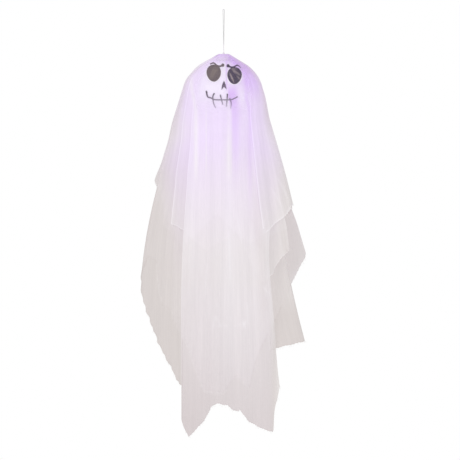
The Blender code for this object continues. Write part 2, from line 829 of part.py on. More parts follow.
def diffuser():
    """Frosted dome that sits on the sleeve and spreads the light."""
    base = SLEEVE_TOP + CLEARANCE
    outer = SLEEVE_RADIUS - COLLAR_WALL
    inner = outer - DIFFUSER_WALL
    angles = [pi / 2 * step / 5 for step in range(5)]
    rise = DIFFUSER_RISE - DIFFUSER_WALL
    outline = [(0, base + rise)]
    outline += [(inner * cos(a), base + rise * sin(a)) for a in reversed(angles)]
    outline += [(SLEEVE_RADIUS, base), (SLEEVE_RADIUS, base + DIFFUSER_WALL)]
    outline += [(outer * cos(a), base + DIFFUSER_WALL + rise * sin(a)) for a in angles]
    outline.append((0, base + DIFFUSER_RISE))
    finish("diffuser_dome", to_mesh("diffuser_dome", turned(outline, STEPS)), frosted_plastic())


def circuit():
    """Round board on the posts of the case, its lamps and the screws that hold it."""
    disc = rod(BOARD_RADIUS, BOARD_BOTTOM, BOARD_TOP, STEPS)
    board = finish("circuit_board", to_mesh("circuit_board", disc), board_laminate())
    posts = around(SCREW_COUNT, BOARD_SCREW_CIRCLE, pi / 3)
    combine(board, holes(posts, BOARD_BOTTOM - OVERRUN, BOARD_TOP + OVERRUN), "DIFFERENCE")

    base = BOARD_TOP + CLEARANCE
    straight = LAMP_HEIGHT - LAMP_RADIUS
    lens = [radians(degree) for degree in (0, 30, 60)]
    outline = [(0, base), (LAMP_RADIUS, base)]
    outline += [(LAMP_RADIUS * cos(a), base + straight + LAMP_RADIUS * sin(a)) for a in lens]
    outline.append((0, base + LAMP_HEIGHT))
    lamp = to_mesh("led_lamp", turned(outline, SMALL_STEPS))
    copies("led_lamp", lamp, lamp_epoxy(), around(LAMP_COUNT, LAMP_CIRCLE))
    pan_head = screw(BOARD_TOP + CLEARANCE, BOARD_BOTTOM - BOARD_POST_HEIGHT / 2, 1)
    copies("board_screw", to_mesh("board_screw", pan_head), zinc_steel(), posts)


def screw(seat, end, way):
    """A pan-head screw on the Z axis, its head above the seat if way is 1 and below if -1."""
    top = seat + way * SCREW_HEAD_HEIGHT
    outline = [
        (0, end),
        (SCREW_RADIUS, end),
        (SCREW_RADIUS, seat),
        (SCREW_HEAD_RADIUS, seat),
        (SCREW_HEAD_RADIUS, seat + way * SCREW_HEAD_HEIGHT / 2),
        (SCREW_HEAD_RADIUS / 2, top),
        (0, top),
    ]
    return turned(outline, SCREW_STEPS)


def battery_case():
    """Cup with its ceiling under the collar, posts, contact ribs, hinge lugs and a slot."""
    flange_bottom = CASE_TOP - CASE_FLANGE_THICKNESS
    outline = [
        (0, CEILING),
        (CASE_INNER, CEILING),
        (CASE_INNER, CASE_BOTTOM),
        (CASE_RADIUS, CASE_BOTTOM),
        (CASE_RADIUS, flange_bottom),
        (COLLAR_FLANGE_RADIUS, flange_bottom),
        (COLLAR_FLANGE_RADIUS, CASE_TOP),
        (0, CASE_TOP),
    ]
    cup = to_mesh("battery_case", turned(outline, STEPS))
    case = finish("battery_case", cup, white_plastic())

    posts = around(SCREW_COUNT, BOARD_SCREW_CIRCLE, pi / 3)
    foot, post_top = CASE_TOP - CASE_WALL / 2, CASE_TOP + BOARD_POST_HEIGHT
    added = [moved(rod(BOARD_POST_RADIUS, foot, post_top), post) for post in posts]
    inner, outer = contact_places()
    width = CELL_SPACING + CELL_RADIUS / 2
    inside = HINGE_DOOR_WIDTH / 2 + CLEARANCE
    for side in (-1, 1):
        near, far = sorted((side * outer, side * (outer + RIB_THICKNESS)))
        low, high = CELL_Z - CELL_RADIUS / 2, CEILING + CASE_WALL / 2
        added.append(block((near, -width, low), (far, width, high)))
        near, far = sorted((side * inside, side * (inside + HINGE_LUG_WIDTH)))
        wall, low = CASE_RADIUS - CASE_WALL / 2, CASE_BOTTOM + CLEARANCE
        root = [(HINGE.y - HINGE_KNUCKLE_RADIUS, low), (wall, low)]
        root.append((wall, HINGE.z + 2 * HINGE_KNUCKLE_RADIUS))
        added.append(prism(knuckle(root, 90, -180), near, far))
    combine(case, joined(added), "UNION")

    screws = around(SCREW_COUNT, SCREW_CIRCLE)
    wires = [wire_place(-1), wire_place(1)]
    above = CASE_TOP + OVERRUN
    cuts = [
        holes(posts, CASE_TOP + CLEARANCE, post_top + OVERRUN),
        holes(screws, flange_bottom - OVERRUN, above),
        holes(wires, CEILING - OVERRUN, above, WIRE_HOLE_RADIUS),
    ]
    half = (SLIDER_LENGTH + SLIDER_TRAVEL) / 2 + SLIDER_MARGIN
    level = CEILING - CLEARANCE - SWITCH_HEIGHT / 2
    tall = SLIDER_HEIGHT / 2 + SLIDER_MARGIN
    low = (-half, -CASE_RADIUS - OVERRUN, level - tall)
    cuts.append(block(low, (half, -CASE_INNER + CASE_WALL, level + tall)))
    reach = inside + HINGE_LUG_WIDTH + OVERRUN
    cuts.append(moved(rod(HINGE_PIN_RADIUS + CLEARANCE, -reach, reach, axis="X"), HINGE))
    combine(case, joined(cuts), "DIFFERENCE")

    pan_head = to_mesh("case_screw", screw(flange_bottom - CLEARANCE, FLANGE_TOP, -1))
    copies("case_screw", pan_head, zinc_steel(), screws)


def contact_places():
    """Inner and outer faces of the two contact plates, measured from the middle."""
    inner = (CELL_LENGTH + CELL_NUB_LENGTH + SPRING_LENGTH + 3 * CLEARANCE) / 2
    return inner, inner + CONTACT_THICKNESS + CLEARANCE


def wire_place(side):
    """Where a wire passes the ceiling, beyond the end of a rib."""
    return Vector((side * WIRE_CIRCLE * cos(WIRE_TURN), WIRE_CIRCLE * sin(WIRE_TURN), 0))


def batteries():
    """Three cells side by side, a plate at each end, and a spring for each on one plate."""
    inner = contact_places()[0]
    start = -inner + CLEARANCE + SPRING_LENGTH + CLEARANCE
    end = start + CELL_LENGTH
    outline = [
        (0, start),
        (CELL_RADIUS, start),
        (CELL_RADIUS, end),
        (CELL_NUB_RADIUS, end),
        (CELL_NUB_RADIUS, end + CELL_NUB_LENGTH),
        (0, end + CELL_NUB_LENGTH),
    ]
    rows = [(index - (CELL_COUNT - 1) / 2) * CELL_SPACING for index in range(CELL_COUNT)]
    cell = to_mesh("battery_cell", turned(outline, SMALL_STEPS, axis="X"))
    copies("battery_cell", cell, cell_jacket(), [Vector((0, row, CELL_Z)) for row in rows])

    width = CELL_SPACING + CELL_RADIUS / 2 - CONTACT_MARGIN
    low, high = CELL_Z - CELL_RADIUS / 2, CEILING - CLEARANCE
    for name, side in (("positive_contact", 1), ("negative_contact", -1)):
        near, far = sorted((side * inner, side * (inner + CONTACT_THICKNESS)))
        plate = block((near, -width, low), (far, width, high))
        finish(name, to_mesh(name, plate), zinc_steel())

    wire = SPRING_WIRE / 2
    coil_start = -inner + CLEARANCE + wire
    coil_length = SPRING_LENGTH - SPRING_WIRE
    count = round(BALL_STEPS * SPRING_TURNS)
    for index, row in enumerate(rows):
        points = []
        for step in range(count + 1):
            share = step / count
            turn = 2 * pi * SPRING_TURNS * share
            radius = SPRING_RADIUS * (1 - SPRING_TAPER_SHARE * share)
            along = coil_start + coil_length * share
            points.append(Vector((along, row + radius * cos(turn), CELL_Z + radius * sin(turn))))
        tube(f"contact_spring_{index + 1}", points, SPRING_WIRE, zinc_steel(), sides=1)

    side_wire("red_wire", 1, inner, width, (0.6, 0.04, 0.03))
    side_wire("black_wire", -1, inner, width, (0.02, 0.02, 0.02))


def side_wire(name, side, plate, width, colour):
    """A wire from beside a contact plate, up through the ceiling, to the board's underside."""
    place = wire_place(side)
    level = CEILING - WIRE_DIAMETER - CLEARANCE
    top = BOARD_BOTTOM - CLEARANCE
    end = Vector((side * 2 * LAMP_CIRCLE, place.y * WIRE_TOP_SHARE, top))
    route = [
        Vector((side * plate, width + 2 * WIRE_DIAMETER, level)),
        Vector((place.x, place.y, CEILING)),
        Vector((place.x, place.y, CASE_TOP + WIRE_DIAMETER)),
        Vector((end.x, end.y, top - WIRE_DIAMETER)),
        end,
    ]
    look = wire_insulation(name, colour)
    tube(name, smooth_points(route, 3), WIRE_DIAMETER, look, sides=1)


def switch():
    """Slide switch: body under the ceiling, slider at the left end of its travel."""
    front = -(CASE_INNER - SWITCH_SETBACK)
    top = CEILING - CLEARANCE
    low = (-SWITCH_LENGTH / 2, front, top - SWITCH_HEIGHT)
    high = (SWITCH_LENGTH / 2, front + SWITCH_DEPTH, top)
    finish("switch_body", to_mesh("switch_body", block(low, high)), black_plastic())
    level = top - SWITCH_HEIGHT / 2
    left = -(SLIDER_LENGTH + SLIDER_TRAVEL) / 2
    low = Vector((left, -CASE_RADIUS - SLIDER_PROUD, level - SLIDER_HEIGHT / 2))
    high = Vector((left + SLIDER_LENGTH, front - CLEARANCE, level + SLIDER_HEIGHT / 2))
    slider = to_mesh("switch_slider", block(low, high))
    finish("switch_slider", slider, black_plastic(), pivot=(low + high) / 2)


def door():
    """Round door with a finger tab in front and a hinge barrel at the back."""
    top = CASE_BOTTOM - CLEARANCE
    bottom = top - DOOR_THICKNESS
    disc = rod(CASE_RADIUS, bottom, top, STEPS)
    panel = finish("battery_door", to_mesh("battery_door", disc), white_plastic(), pivot=HINGE)
    half = HINGE_DOOR_WIDTH / 2
    root = CASE_RADIUS - CASE_WALL
    arm_root = [(root, bottom + CLEARANCE), (root, top - CLEARANCE)]
    arm = prism(knuckle(arm_root, 160, -160), -half, half)
    tab_low = (-DOOR_TAB_WIDTH / 2, -CASE_RADIUS - DOOR_TAB_DEPTH, bottom + CLEARANCE)
    tab = block(tab_low, (DOOR_TAB_WIDTH / 2, -root, top - CLEARANCE))
    combine(panel, joined([arm, tab]), "UNION")
    bore = rod(HINGE_PIN_RADIUS + CLEARANCE, -half - OVERRUN, half + OVERRUN, axis="X")
    combine(panel, moved(bore, HINGE), "DIFFERENCE")
    length = half + CLEARANCE + HINGE_LUG_WIDTH
    pin = moved(rod(HINGE_PIN_RADIUS, -length, length, axis="X"), HINGE)
    finish("door_pin", to_mesh("door_pin", pin), zinc_steel())


clear_scene()
cap_seat = hanging_cord()
head_shells()
hanger_cap(cap_seat)
face()
drapes()
lamp_collar()
diffuser()
circuit()
battery_case()
batteries()
switch()
door()
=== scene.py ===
"""Looks of the light-up hanging ghost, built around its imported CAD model."""

from math import cos, pi, radians, sin

import bpy
import numpy as np
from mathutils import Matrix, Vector


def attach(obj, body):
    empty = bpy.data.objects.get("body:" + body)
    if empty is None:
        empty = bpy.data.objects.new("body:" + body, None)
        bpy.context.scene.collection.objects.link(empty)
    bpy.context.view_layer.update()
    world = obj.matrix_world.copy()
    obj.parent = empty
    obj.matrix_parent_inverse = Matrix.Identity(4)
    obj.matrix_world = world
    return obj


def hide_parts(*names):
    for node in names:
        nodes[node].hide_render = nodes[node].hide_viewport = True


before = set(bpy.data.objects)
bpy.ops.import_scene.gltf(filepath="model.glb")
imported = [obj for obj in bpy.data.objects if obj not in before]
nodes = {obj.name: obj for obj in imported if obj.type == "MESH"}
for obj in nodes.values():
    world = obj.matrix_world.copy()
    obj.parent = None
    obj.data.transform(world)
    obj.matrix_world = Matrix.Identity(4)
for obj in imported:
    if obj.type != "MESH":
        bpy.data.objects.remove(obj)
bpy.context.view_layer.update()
scene = bpy.context.scene

# Camera: level, far off on a long lens, as such pictures are taken. The loop's top shows
# at LOOP_PIXEL of the square picture, and a pixel is PIXEL metres at the ghost.
PICTURE = 460
PIXEL = 0.0023864
LOOP_PIXEL = (223.7, 9.5)
DISTANCE = 40.0


def placed(name, data):
    """An object with this data, in the scene."""
    made = bpy.data.objects.new(name, data)
    scene.collection.objects.link(made)
    return made


lens = bpy.data.cameras.new("camera")
lens.lens = lens.sensor_width * DISTANCE / (PICTURE * PIXEL)
camera = placed("camera", lens)
across, down = (PICTURE / 2 - start for start in LOOP_PIXEL)
camera.location = (across * PIXEL, -DISTANCE, -down * PIXEL)
camera.rotation_euler = (pi / 2, 0, 0)
scene.camera = camera
scene.view_settings.view_transform = "Standard"
scene.cycles.transparent_max_bounces = 32

# Light: an even white room, a broad key lamp high at the front left, a weaker one at the right
# and one behind, each with its place and watts. The camera sees the room as plain white.
ROOM_LIGHT = 0.62
LAMPS = (
    ("key", (-1.6, -2.6, 1.0), 36),
    ("fill", (2.2, -2.2, -0.4), 14),
    ("back", (0.6, 2.8, 0.6), 30),
)
LAMP_SIZE = 2.0
LAMPS_AIM = Vector((0, 0, -0.5))


def put(socket, value):
    """Give a socket its value: a constant, or another node's output."""
    if isinstance(value, bpy.types.NodeSocket):
        socket.id_data.links.new(value, socket)
    else:
        socket.default_value = value


def fill(node, **values):
    """Give a node's sockets their values, by name."""
    for name, value in values.items():
        put(node.inputs[name.replace("_", " ")], value)


def add(tree, kind, *links, **values):
    """A node with values for its settings and sockets, and links as (output, socket)."""
    made = tree.nodes.new(kind)
    for name, value in values.items():
        if hasattr(made, name):
            setattr(made, name, value)
        else:
            fill(made, **{name: value})
    for output, name in links:
        put(made.inputs[name], output)
    return made


def reckon(tree, operation, *terms):
    """What a math operation makes of its terms, each a number or an output."""
    made = add(tree, "ShaderNodeMath", operation=operation)
    for socket, term in zip(made.inputs, terms):
        put(socket, term)
    return made.outputs[0]


room = bpy.data.worlds.new("room")
room.use_nodes = True
scene.world = room
tree = room.node_tree
path = add(tree, "ShaderNodeLightPath")
seen = path.outputs["Is Camera Ray"]
for also in ("Is Glossy Ray", "Is Transmission Ray"):
    seen = reckon(tree, "MAXIMUM", seen, path.outputs[also])
level = add(tree, "ShaderNodeMapRange", (seen, "Value"), To_Min=ROOM_LIGHT, To_Max=1.0)
background = tree.nodes["Background"]
fill(background, Color=(1, 1, 1, 1), Strength=level.outputs[0])

for name, place, watts in LAMPS:
    lamp = bpy.data.lights.new(name, "AREA")
    lamp.size = LAMP_SIZE
    lamp.energy = watts
    holder = placed(name, lamp)
    holder.location = place
    aim = LAMPS_AIM - holder.location
    holder.rotation_euler = aim.to_track_quat("-Z", "Y").to_euler()

# Floor: a pale sheet well below the hems, out of the front view. Seen directly it is lifted
# to white, and the ghost's soft shadow stays on it. Its underside lets views from below through.
FLOOR_Z = -1.5
FLOOR_HALF = 1.6
FLOOR_COLOUR = (0.86, 0.86, 0.86)
FLOOR_ROUGHNESS = 0.9
FLOOR_LIFT = 0.35


def new_look(name):
    """A material, its nodes and its shader."""
    made = bpy.data.materials.new(name)
    made.use_nodes = True
    return made, made.node_tree, made.node_tree.nodes["Principled BSDF"]


ways = ((-1, -1), (1, -1), (1, 1), (-1, 1))
corners = [(x * FLOOR_HALF, y * FLOOR_HALF, FLOOR_Z) for x, y in ways]
sheet = bpy.data.meshes.new("floor")
sheet.from_pydata(corners, [], [(0, 1, 2, 3)])
floor = placed("floor", sheet)
look, tree, shader = new_look("pale_floor")
fill(shader, Base_Color=(*FLOOR_COLOUR, 1), Roughness=FLOOR_ROUGHNESS)
fill(shader, Emission_Color=(1, 1, 1, 1))
path = add(tree, "ShaderNodeLightPath")
lift = reckon(tree, "MULTIPLY", path.outputs["Is Camera Ray"], FLOOR_LIFT)
under = add(tree, "ShaderNodeNewGeometry").outputs["Backfacing"]
fill(shader, Emission_Strength=lift, Alpha=reckon(tree, "SUBTRACT", 1.0, under))
sheet.materials.append(look)

# Cord: a loop of fine twisted fibre cord, drawn tight by the ghost's weight. It goes up
# from the crown knot, over its hook and back down beside itself. Its foot has a painted glow.
CORD_DIAMETER = 0.0008
LOOP_BEND_RADIUS = 0.0017
LOOP_STRAND_GAP = 0.0003
KNOT_Z = -0.1042
KNOT_RADIUS = 0.0024
CLEARANCE = 0.0003
STRAND_STEPS = 13
BEND_STEPS = 8
CORD_GREY = (0.32, 0.31, 0.32)
CORD_PAINTED_GLOW = (0.84, 0.80, 0.84)
CORD_GLOW_HEIGHTS = (-0.060, -0.096)
CLOUD_GRAINS = 12
GLOSS_SPREAD = 0.15
foot = (CORD_DIAMETER + LOOP_STRAND_GAP) / 2
bend_z = CORD_DIAMETER / 2 - LOOP_BEND_RADIUS
loop_low = KNOT_Z + KNOT_RADIUS + CLEARANCE
shares = [step / STRAND_STEPS for step in range(STRAND_STEPS)]
spread = LOOP_BEND_RADIUS - foot
strand = [(foot + spread * t**2, loop_low + (bend_z - loop_low) * t) for t in shares]
turns = [pi * step / BEND_STEPS for step in range(BEND_STEPS + 1)]
bend = [(LOOP_BEND_RADIUS * cos(a), bend_z + LOOP_BEND_RADIUS * sin(a)) for a in turns]
route = [Vector((x, 0, z)) for x, z in [*strand, *bend, *((-x, z) for x, z in reversed(strand))]]


def blend(tree, share, first, second):
    """A mix of two colours, each a constant or an output."""
    made = add(tree, "ShaderNodeMix", (share, "Factor"), data_type="RGBA")
    for socket, colour in ((6, first), (7, second)):
        put(made.inputs[socket], (*colour, 1) if isinstance(colour, tuple) else colour)
    return made.outputs[2]


def surface(name, colour, rough, mottle, grain, metal=0.0, relief=0.00002):
    """A moulded, spun or plated surface: mottled colour and roughness, and a fine grain."""
    made, tree, shader = new_look(name)
    fill(shader, Metallic=metal)
    place = add(tree, "ShaderNodeTexCoord").outputs["Object"]
    cloud = add(tree, "ShaderNodeTexNoise", (place, "Vector"), Detail=3.0)
    fill(cloud, Scale=grain / CLOUD_GRAINS)
    darker = tuple(part * (1 - mottle) for part in colour)
    lighter = tuple(min(1, part * (1 + mottle)) for part in colour)
    fill(shader, Base_Color=blend(tree, cloud.outputs["Fac"], darker, lighter))
    gloss = add(tree, "ShaderNodeMapRange", (cloud.outputs["Fac"], "Value"))
    fill(gloss, To_Min=rough * (1 - GLOSS_SPREAD), To_Max=min(1, rough * (1 + GLOSS_SPREAD)))
    fill(shader, Roughness=gloss.outputs[0])
    fine = add(tree, "ShaderNodeTexNoise", (place, "Vector"), Scale=grain, Detail=2.0)
    bump = add(tree, "ShaderNodeBump", (fine.outputs["Fac"], "Height"), Distance=relief)
    fill(shader, Normal=bump.outputs[0])
    return made


def dress(name, look):
    """Give a CAD node its finish."""
    nodes[name].data.materials.clear()
    nodes[name].data.materials.append(look)


def ramp(tree, value, start, end, to_start=0.0, to_end=1.0):
    """A smooth step of a value between two places."""
    made = add(tree, "ShaderNodeMapRange", (value, "Value"), interpolation_type="SMOOTHSTEP")
    fill(made, From_Min=start, From_Max=end, To_Min=to_start, To_Max=to_end)
    return made.outputs[0]


fibre = surface("cord_fibre", CORD_GREY, rough=0.75, mottle=0.12, grain=4000)
tree = fibre.node_tree
shader = tree.nodes["Principled BSDF"]
grey = shader.inputs["Base Color"].links[0].from_socket
spot = add(tree, "ShaderNodeTexCoord").outputs["Object"]
rise = add(tree, "ShaderNodeSeparateXYZ", (spot, "Vector")).outputs["Z"]
# Painted glow: the cord's colour turns from grey to pale towards its foot, by height
fill(shader, Base_Color=blend(tree, ramp(tree, rise, *CORD_GLOW_HEIGHTS), grey, CORD_PAINTED_GLOW))
line = bpy.data.curves.new("cord_loop", "CURVE")
line.dimensions = "3D"
line.bevel_depth = CORD_DIAMETER / 2
line.bevel_resolution = 3
line.use_fill_caps = True
run = line.splines.new("POLY")
run.points.add(len(route) - 1)
for point, spot in zip(run.points, route):
    point.co = (*spot, 1)
line.materials.append(fibre)
cord_loop = placed("cord_loop", line)
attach(cord_loop, "hanger")
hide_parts("hang_loop")
for name in ("crown_knot", "cord_tail", "anchor_knot"):
    dress(name, fibre)

# Crown fittings: a moulded eyelet over the gathered cloth and the cap that lifts the drapes to
# a point, with the plated washer under it that carries the ghost's weight.
white_plastic = surface("white_plastic", (0.80, 0.80, 0.79), rough=0.42, mottle=0.03, grain=1400)
zinc_steel = surface(
    "zinc_steel", (0.62, 0.62, 0.64), rough=0.32, metal=1.0, mottle=0.10, grain=2600
)
for name in ("crown_eyelet", "hanger_cap"):
    dress(name, white_plastic)
dress("anchor_washer", zinc_steel)

# Head: a blown milky ball, lit from inside through its diffuser. It glows violet, with light
# and shade painted into the glow: deepest violet at the crown and at its upper right, in
# painted shadows of the cloth's folds, and palest in front of the lamps.
HEAD_RADIUS = 0.0890
HEAD_Z = -0.2098
# Colours: the inner glow's violet, painted lamplight, and a painted highlight round the eyes
VIOLET = (0.76, 0.57, 0.93)
PAINTED_LAMPLIT = (0.89, 0.82, 0.965)
PAINTED_EYE_HIGHLIGHT = (1.0, 0.97, 1.0)
INNER_LIGHT = 0.5
SHELL_ROUGHNESS = 0.5

# Places on the ball where its painted light and shade change, in metres across and in height,
# each from and to, and the shares it changes between. A painted fold shadow is its slant, its
# sides and its top and foot.
CROWN_HEIGHTS = (-0.086, -0.138)
UPPER_HEIGHTS = (-0.165, -0.135)
LOWER_HEIGHTS = (-0.165, -0.215)
SLANT_HEIGHTS = (-0.205, -0.250)
RIGHT_FADE = (0.012, 0.058, 1.0, 0.15)
UPPER_RIGHT_FADE = (0.004, 0.030, 1.0, 0.0)
LOWER_RIGHT_FADE = (0.040, 0.085, 1.0, 0.70)
FOLD_SHADOWS = (
    (
        0.0075,
        ((0.0080, 0.0125), (0.022, 0.044, 1.0, 0.0)),
        ((-0.166, -0.204, 0.0, 1.25), (-0.205, -0.235, 1.0, 0.75)),
    ),
    (0.0096, ((0.0465, 0.0532), (0.0532, 0.060, 1.0, 0.0)), ((-0.150, -0.180, 0.0, 0.45),)),
    (0.0, ((0.0030, 0.0065), (0.0075, 0.0110, 1.0, 0.0)), ((-0.205, -0.185, 0.0, 0.8),)),
)
CLOUDS = 24.0
CLOUD_WANDER = (0.25, 0.75, 0.94, 1.06)
# The painted highlight round the eyes: the face's side, each eye's place and size, its ring
FACE_SIDE = (0.0, -0.020, 0.0, 0.65)
EYE_PLACES = ((-0.0232, -0.1525, 0.0176, 0.0202), (0.0258, -0.1594, 0.0178, 0.0198))
EYE_HIGHLIGHT_RING = (1.01, 1.13, 1.0, 0.0)


def blend_value(tree, share, first, second):
    """A mix of two values, each an output."""
    return add(tree, "ShaderNodeMix", (share, "Factor"), (first, "A"), (second, "B")).outputs[0]


def scaled(tree, vector, amount):
    """A colour or a vector times a number."""
    made = add(tree, "ShaderNodeVectorMath", operation="SCALE", Scale=amount)
    put(made.inputs[0], vector)
    return made.outputs[0]


def lamp_beam(tree, across, height):
    """Painted lamplight on the ball, 0 to 1: less at the crown, the right and in fold shadows."""
    right = blend_value(
        tree,
        ramp(tree, height, *UPPER_HEIGHTS),
        ramp(tree, across, *RIGHT_FADE),
        ramp(tree, across, *UPPER_RIGHT_FADE),
    )
    lower_right = ramp(tree, across, *LOWER_RIGHT_FADE)
    beam = blend_value(tree, ramp(tree, height, *LOWER_HEIGHTS), right, lower_right)
    beam = reckon(tree, "MULTIPLY", beam, ramp(tree, height, *CROWN_HEIGHTS))
    slant = ramp(tree, height, *SLANT_HEIGHTS)
    # Painted shadows of the cloth's folds on the ball
    for shift, sides, ends in FOLD_SHADOWS:
        place = reckon(tree, "MULTIPLY_ADD", slant, -shift, across)
        dark = reckon(tree, "MULTIPLY", *(ramp(tree, place, *side) for side in sides))
        for end in ends:
            dark = reckon(tree, "MULTIPLY", dark, ramp(tree, height, *end))
        beam = reckon(tree, "MULTIPLY", beam, reckon(tree, "SUBTRACT", 1.0, dark))
    return beam


def lit_plastic(name):
    """Glowing milky plastic: painted lamplight, and a painted highlight round each eye's felt."""
    made, tree, shader = new_look(name)
    fill(shader, Roughness=SHELL_ROUGHNESS, Emission_Strength=INNER_LIGHT)
    place = add(tree, "ShaderNodeTexCoord").outputs["Object"]
    axes = add(tree, "ShaderNodeSeparateXYZ", (place, "Vector"))
    beam = lamp_beam(tree, axes.outputs["X"], axes.outputs["Z"])
    cloud = add(tree, "ShaderNodeTexNoise", (place, "Vector"), Scale=CLOUDS, Detail=3.0)
    wander = ramp(tree, cloud.outputs["Fac"], *CLOUD_WANDER)
    # Painted lamplight pales the violet glow; the noise varies it at random
    glow = blend(tree, reckon(tree, "MULTIPLY", beam, wander), VIOLET, PAINTED_LAMPLIT)
    glow.node.clamp_factor = False
    face_side = ramp(tree, axes.outputs["Y"], *FACE_SIDE)
    below_crown = ramp(tree, axes.outputs["Z"], *CROWN_HEIGHTS)
    # Painted highlight: a pale ring round each eye where the felt ends, on the face's side
    for x, z, half_width, half_height in EYE_PLACES:
        eye = add(tree, "ShaderNodeMapping", (place, "Vector"), vector_type="TEXTURE")
        fill(eye, Location=(x, 0, z), Scale=(half_width, 1, half_height))
        far = add(tree, "ShaderNodeVectorMath", (eye.outputs[0], 0), operation="LENGTH")
        rim = reckon(tree, "MULTIPLY", ramp(tree, far.outputs["Value"], *EYE_HIGHLIGHT_RING), face_side)
        glow = blend(tree, reckon(tree, "MULTIPLY", rim, below_crown), glow, PAINTED_EYE_HIGHLIGHT)
    fill(shader, Base_Color=scaled(tree, glow, 1 - INNER_LIGHT), Emission_Color=glow)
    return made


frosted = lit_plastic("frosted_plastic")
for name in ("head_front_shell", "head_back_shell", "diffuser_dome"):
    dress(name, frosted)

# Lamp unit: a green circuit board with three violet lamps on it, held by screws in the collar
# that snaps into the neck of the ball, under the frosted dome.
dress("lamp_collar", white_plastic)
laminate = surface("board_laminate", (0.04, 0.20, 0.09), rough=0.30, mottle=0.18, grain=1800)
dress("circuit_board", laminate)
epoxy = surface("lamp_epoxy", (0.60, 0.38, 0.95), rough=0.15, mottle=0.05, grain=600)
glowing = epoxy.node_tree.nodes["Principled BSDF"]
fill(glowing, Emission_Color=(0.55, 0.25, 1.0, 1), Emission_Strength=1.5)
for number in (1, 2, 3):
    dress(f"led_lamp_{number}", epoxy)
    dress(f"board_screw_{number}", zinc_steel)

# Battery case: a moulded cup screwed up into the collar, with three cells between plated
# contacts, a slide switch through its wall, and a door on a steel pin below.
jacket = surface("cell_jacket", (0.16, 0.16, 0.18), rough=0.35, mottle=0.10, grain=1200)
black_plastic = surface("black_plastic", (0.03, 0.03, 0.035), rough=0.40, mottle=0.15, grain=1600)
red_cover = surface("red_insulation", (0.50, 0.03, 0.02), rough=0.45, mottle=0.08, grain=1500)
black_cover = surface("black_insulation", (0.02, 0.02, 0.02), rough=0.45, mottle=0.20, grain=1500)
for name in ("battery_case", "battery_door"):
    dress(name, white_plastic)
for number in (1, 2, 3):
    dress(f"battery_cell_{number}", jacket)
    dress(f"contact_spring_{number}", zinc_steel)
    dress(f"case_screw_{number}", zinc_steel)
for name in ("positive_contact", "negative_contact", "door_pin"):
    dress(name, zinc_steel)
for name in ("switch_body", "switch_slider"):
    dress(name, black_plastic)
dress("red_wire", red_cover)
dress("black_wire", black_cover)

# Face: patches cut from dark felt and glued on the front half of the ball. Their colours carry
# painted light: a warm painted glow from inside on the left eye and the nose, and pale painted
# streaks along the cloth's folds, most where its pulled folds cross the right eye.
FOLD_EDGES = (0.15, 1.0)


def dark_felt(name, ground, painted_glow, folds):
    """Felt painted lighter under folds: each (x, z, half width, half length, lean, strength)."""
    made = surface(name, ground, rough=0.95, mottle=0.30, grain=1800, relief=0.0002)
    tree = made.node_tree
    shader = tree.nodes["Principled BSDF"]
    colour = shader.inputs["Base Color"].links[0].from_socket
    place = add(tree, "ShaderNodeTexCoord").outputs["Object"]
    # Painted light: along each fold the felt turns towards its glow colour
    for x, z, half_width, half_length, lean, strength in folds:
        band = add(tree, "ShaderNodeMapping", (place, "Vector"), vector_type="TEXTURE")
        fill(band, Location=(x, 0, z), Rotation=(0, radians(lean), 0))
        fill(band, Scale=(half_width, 1, half_length))
        far = add(tree, "ShaderNodeVectorMath", (band.outputs[0], 0), operation="LENGTH")
        lit = ramp(tree, far.outputs["Value"], *FOLD_EDGES, strength, 0.0)
        colour = blend(tree, lit, colour, painted_glow)
    fill(shader, Base_Color=colour)
    return made


# Each patch's colour (the left eye's warmed by painted glow), its painted colour in the light,
# and the folds that the painted light comes through
FELTS = {
    "left_eye": (
        (0.094, 0.068, 0.056),
        (0.180, 0.140, 0.105),
        (
            (-0.0235, -0.1500, 0.0100, 0.0180, 32, 0.7),
            (-0.0290, -0.1600, 0.0080, 0.0100, 32, 0.5),
            (-0.0180, -0.1460, 0.0016, 0.0120, 40, 0.7),
            (-0.0260, -0.1440, 0.0016, 0.0120, 24, 0.6),
            (-0.0200, -0.1460, 0.0100, 0.0016, 0, 0.5),
        ),
    ),
    "right_eye": (
        (0.009, 0.006, 0.016),
        (0.290, 0.240, 0.225),
        (
            (0.0192, -0.1630, 0.0034, 0.0200, -24, 1.0),
            (0.0305, -0.1505, 0.0042, 0.0180, -50, 0.7),
            (0.0240, -0.1480, 0.0030, 0.0100, -40, 0.7),
            (0.0360, -0.1640, 0.0030, 0.0110, -42, 0.6),
            (0.0240, -0.1420, 0.0110, 0.0030, 0, 0.5),
        ),
    ),
    "nose": (
        (0.070, 0.045, 0.085),
        (0.200, 0.150, 0.230),
        ((0.0010, -0.1860, 0.0050, 0.0080, 0, 0.8),),
    ),
    "mouth": (
        (0.014, 0.007, 0.018),
        (0.045, 0.022, 0.012),
        ((-0.0285, -0.2200, 0.0060, 0.0060, 0, 0.9),),
    ),
}
for name, (ground, painted_glow, folds) in FELTS.items():
    dress(name, dark_felt(name + "_felt", ground, painted_glow, folds))

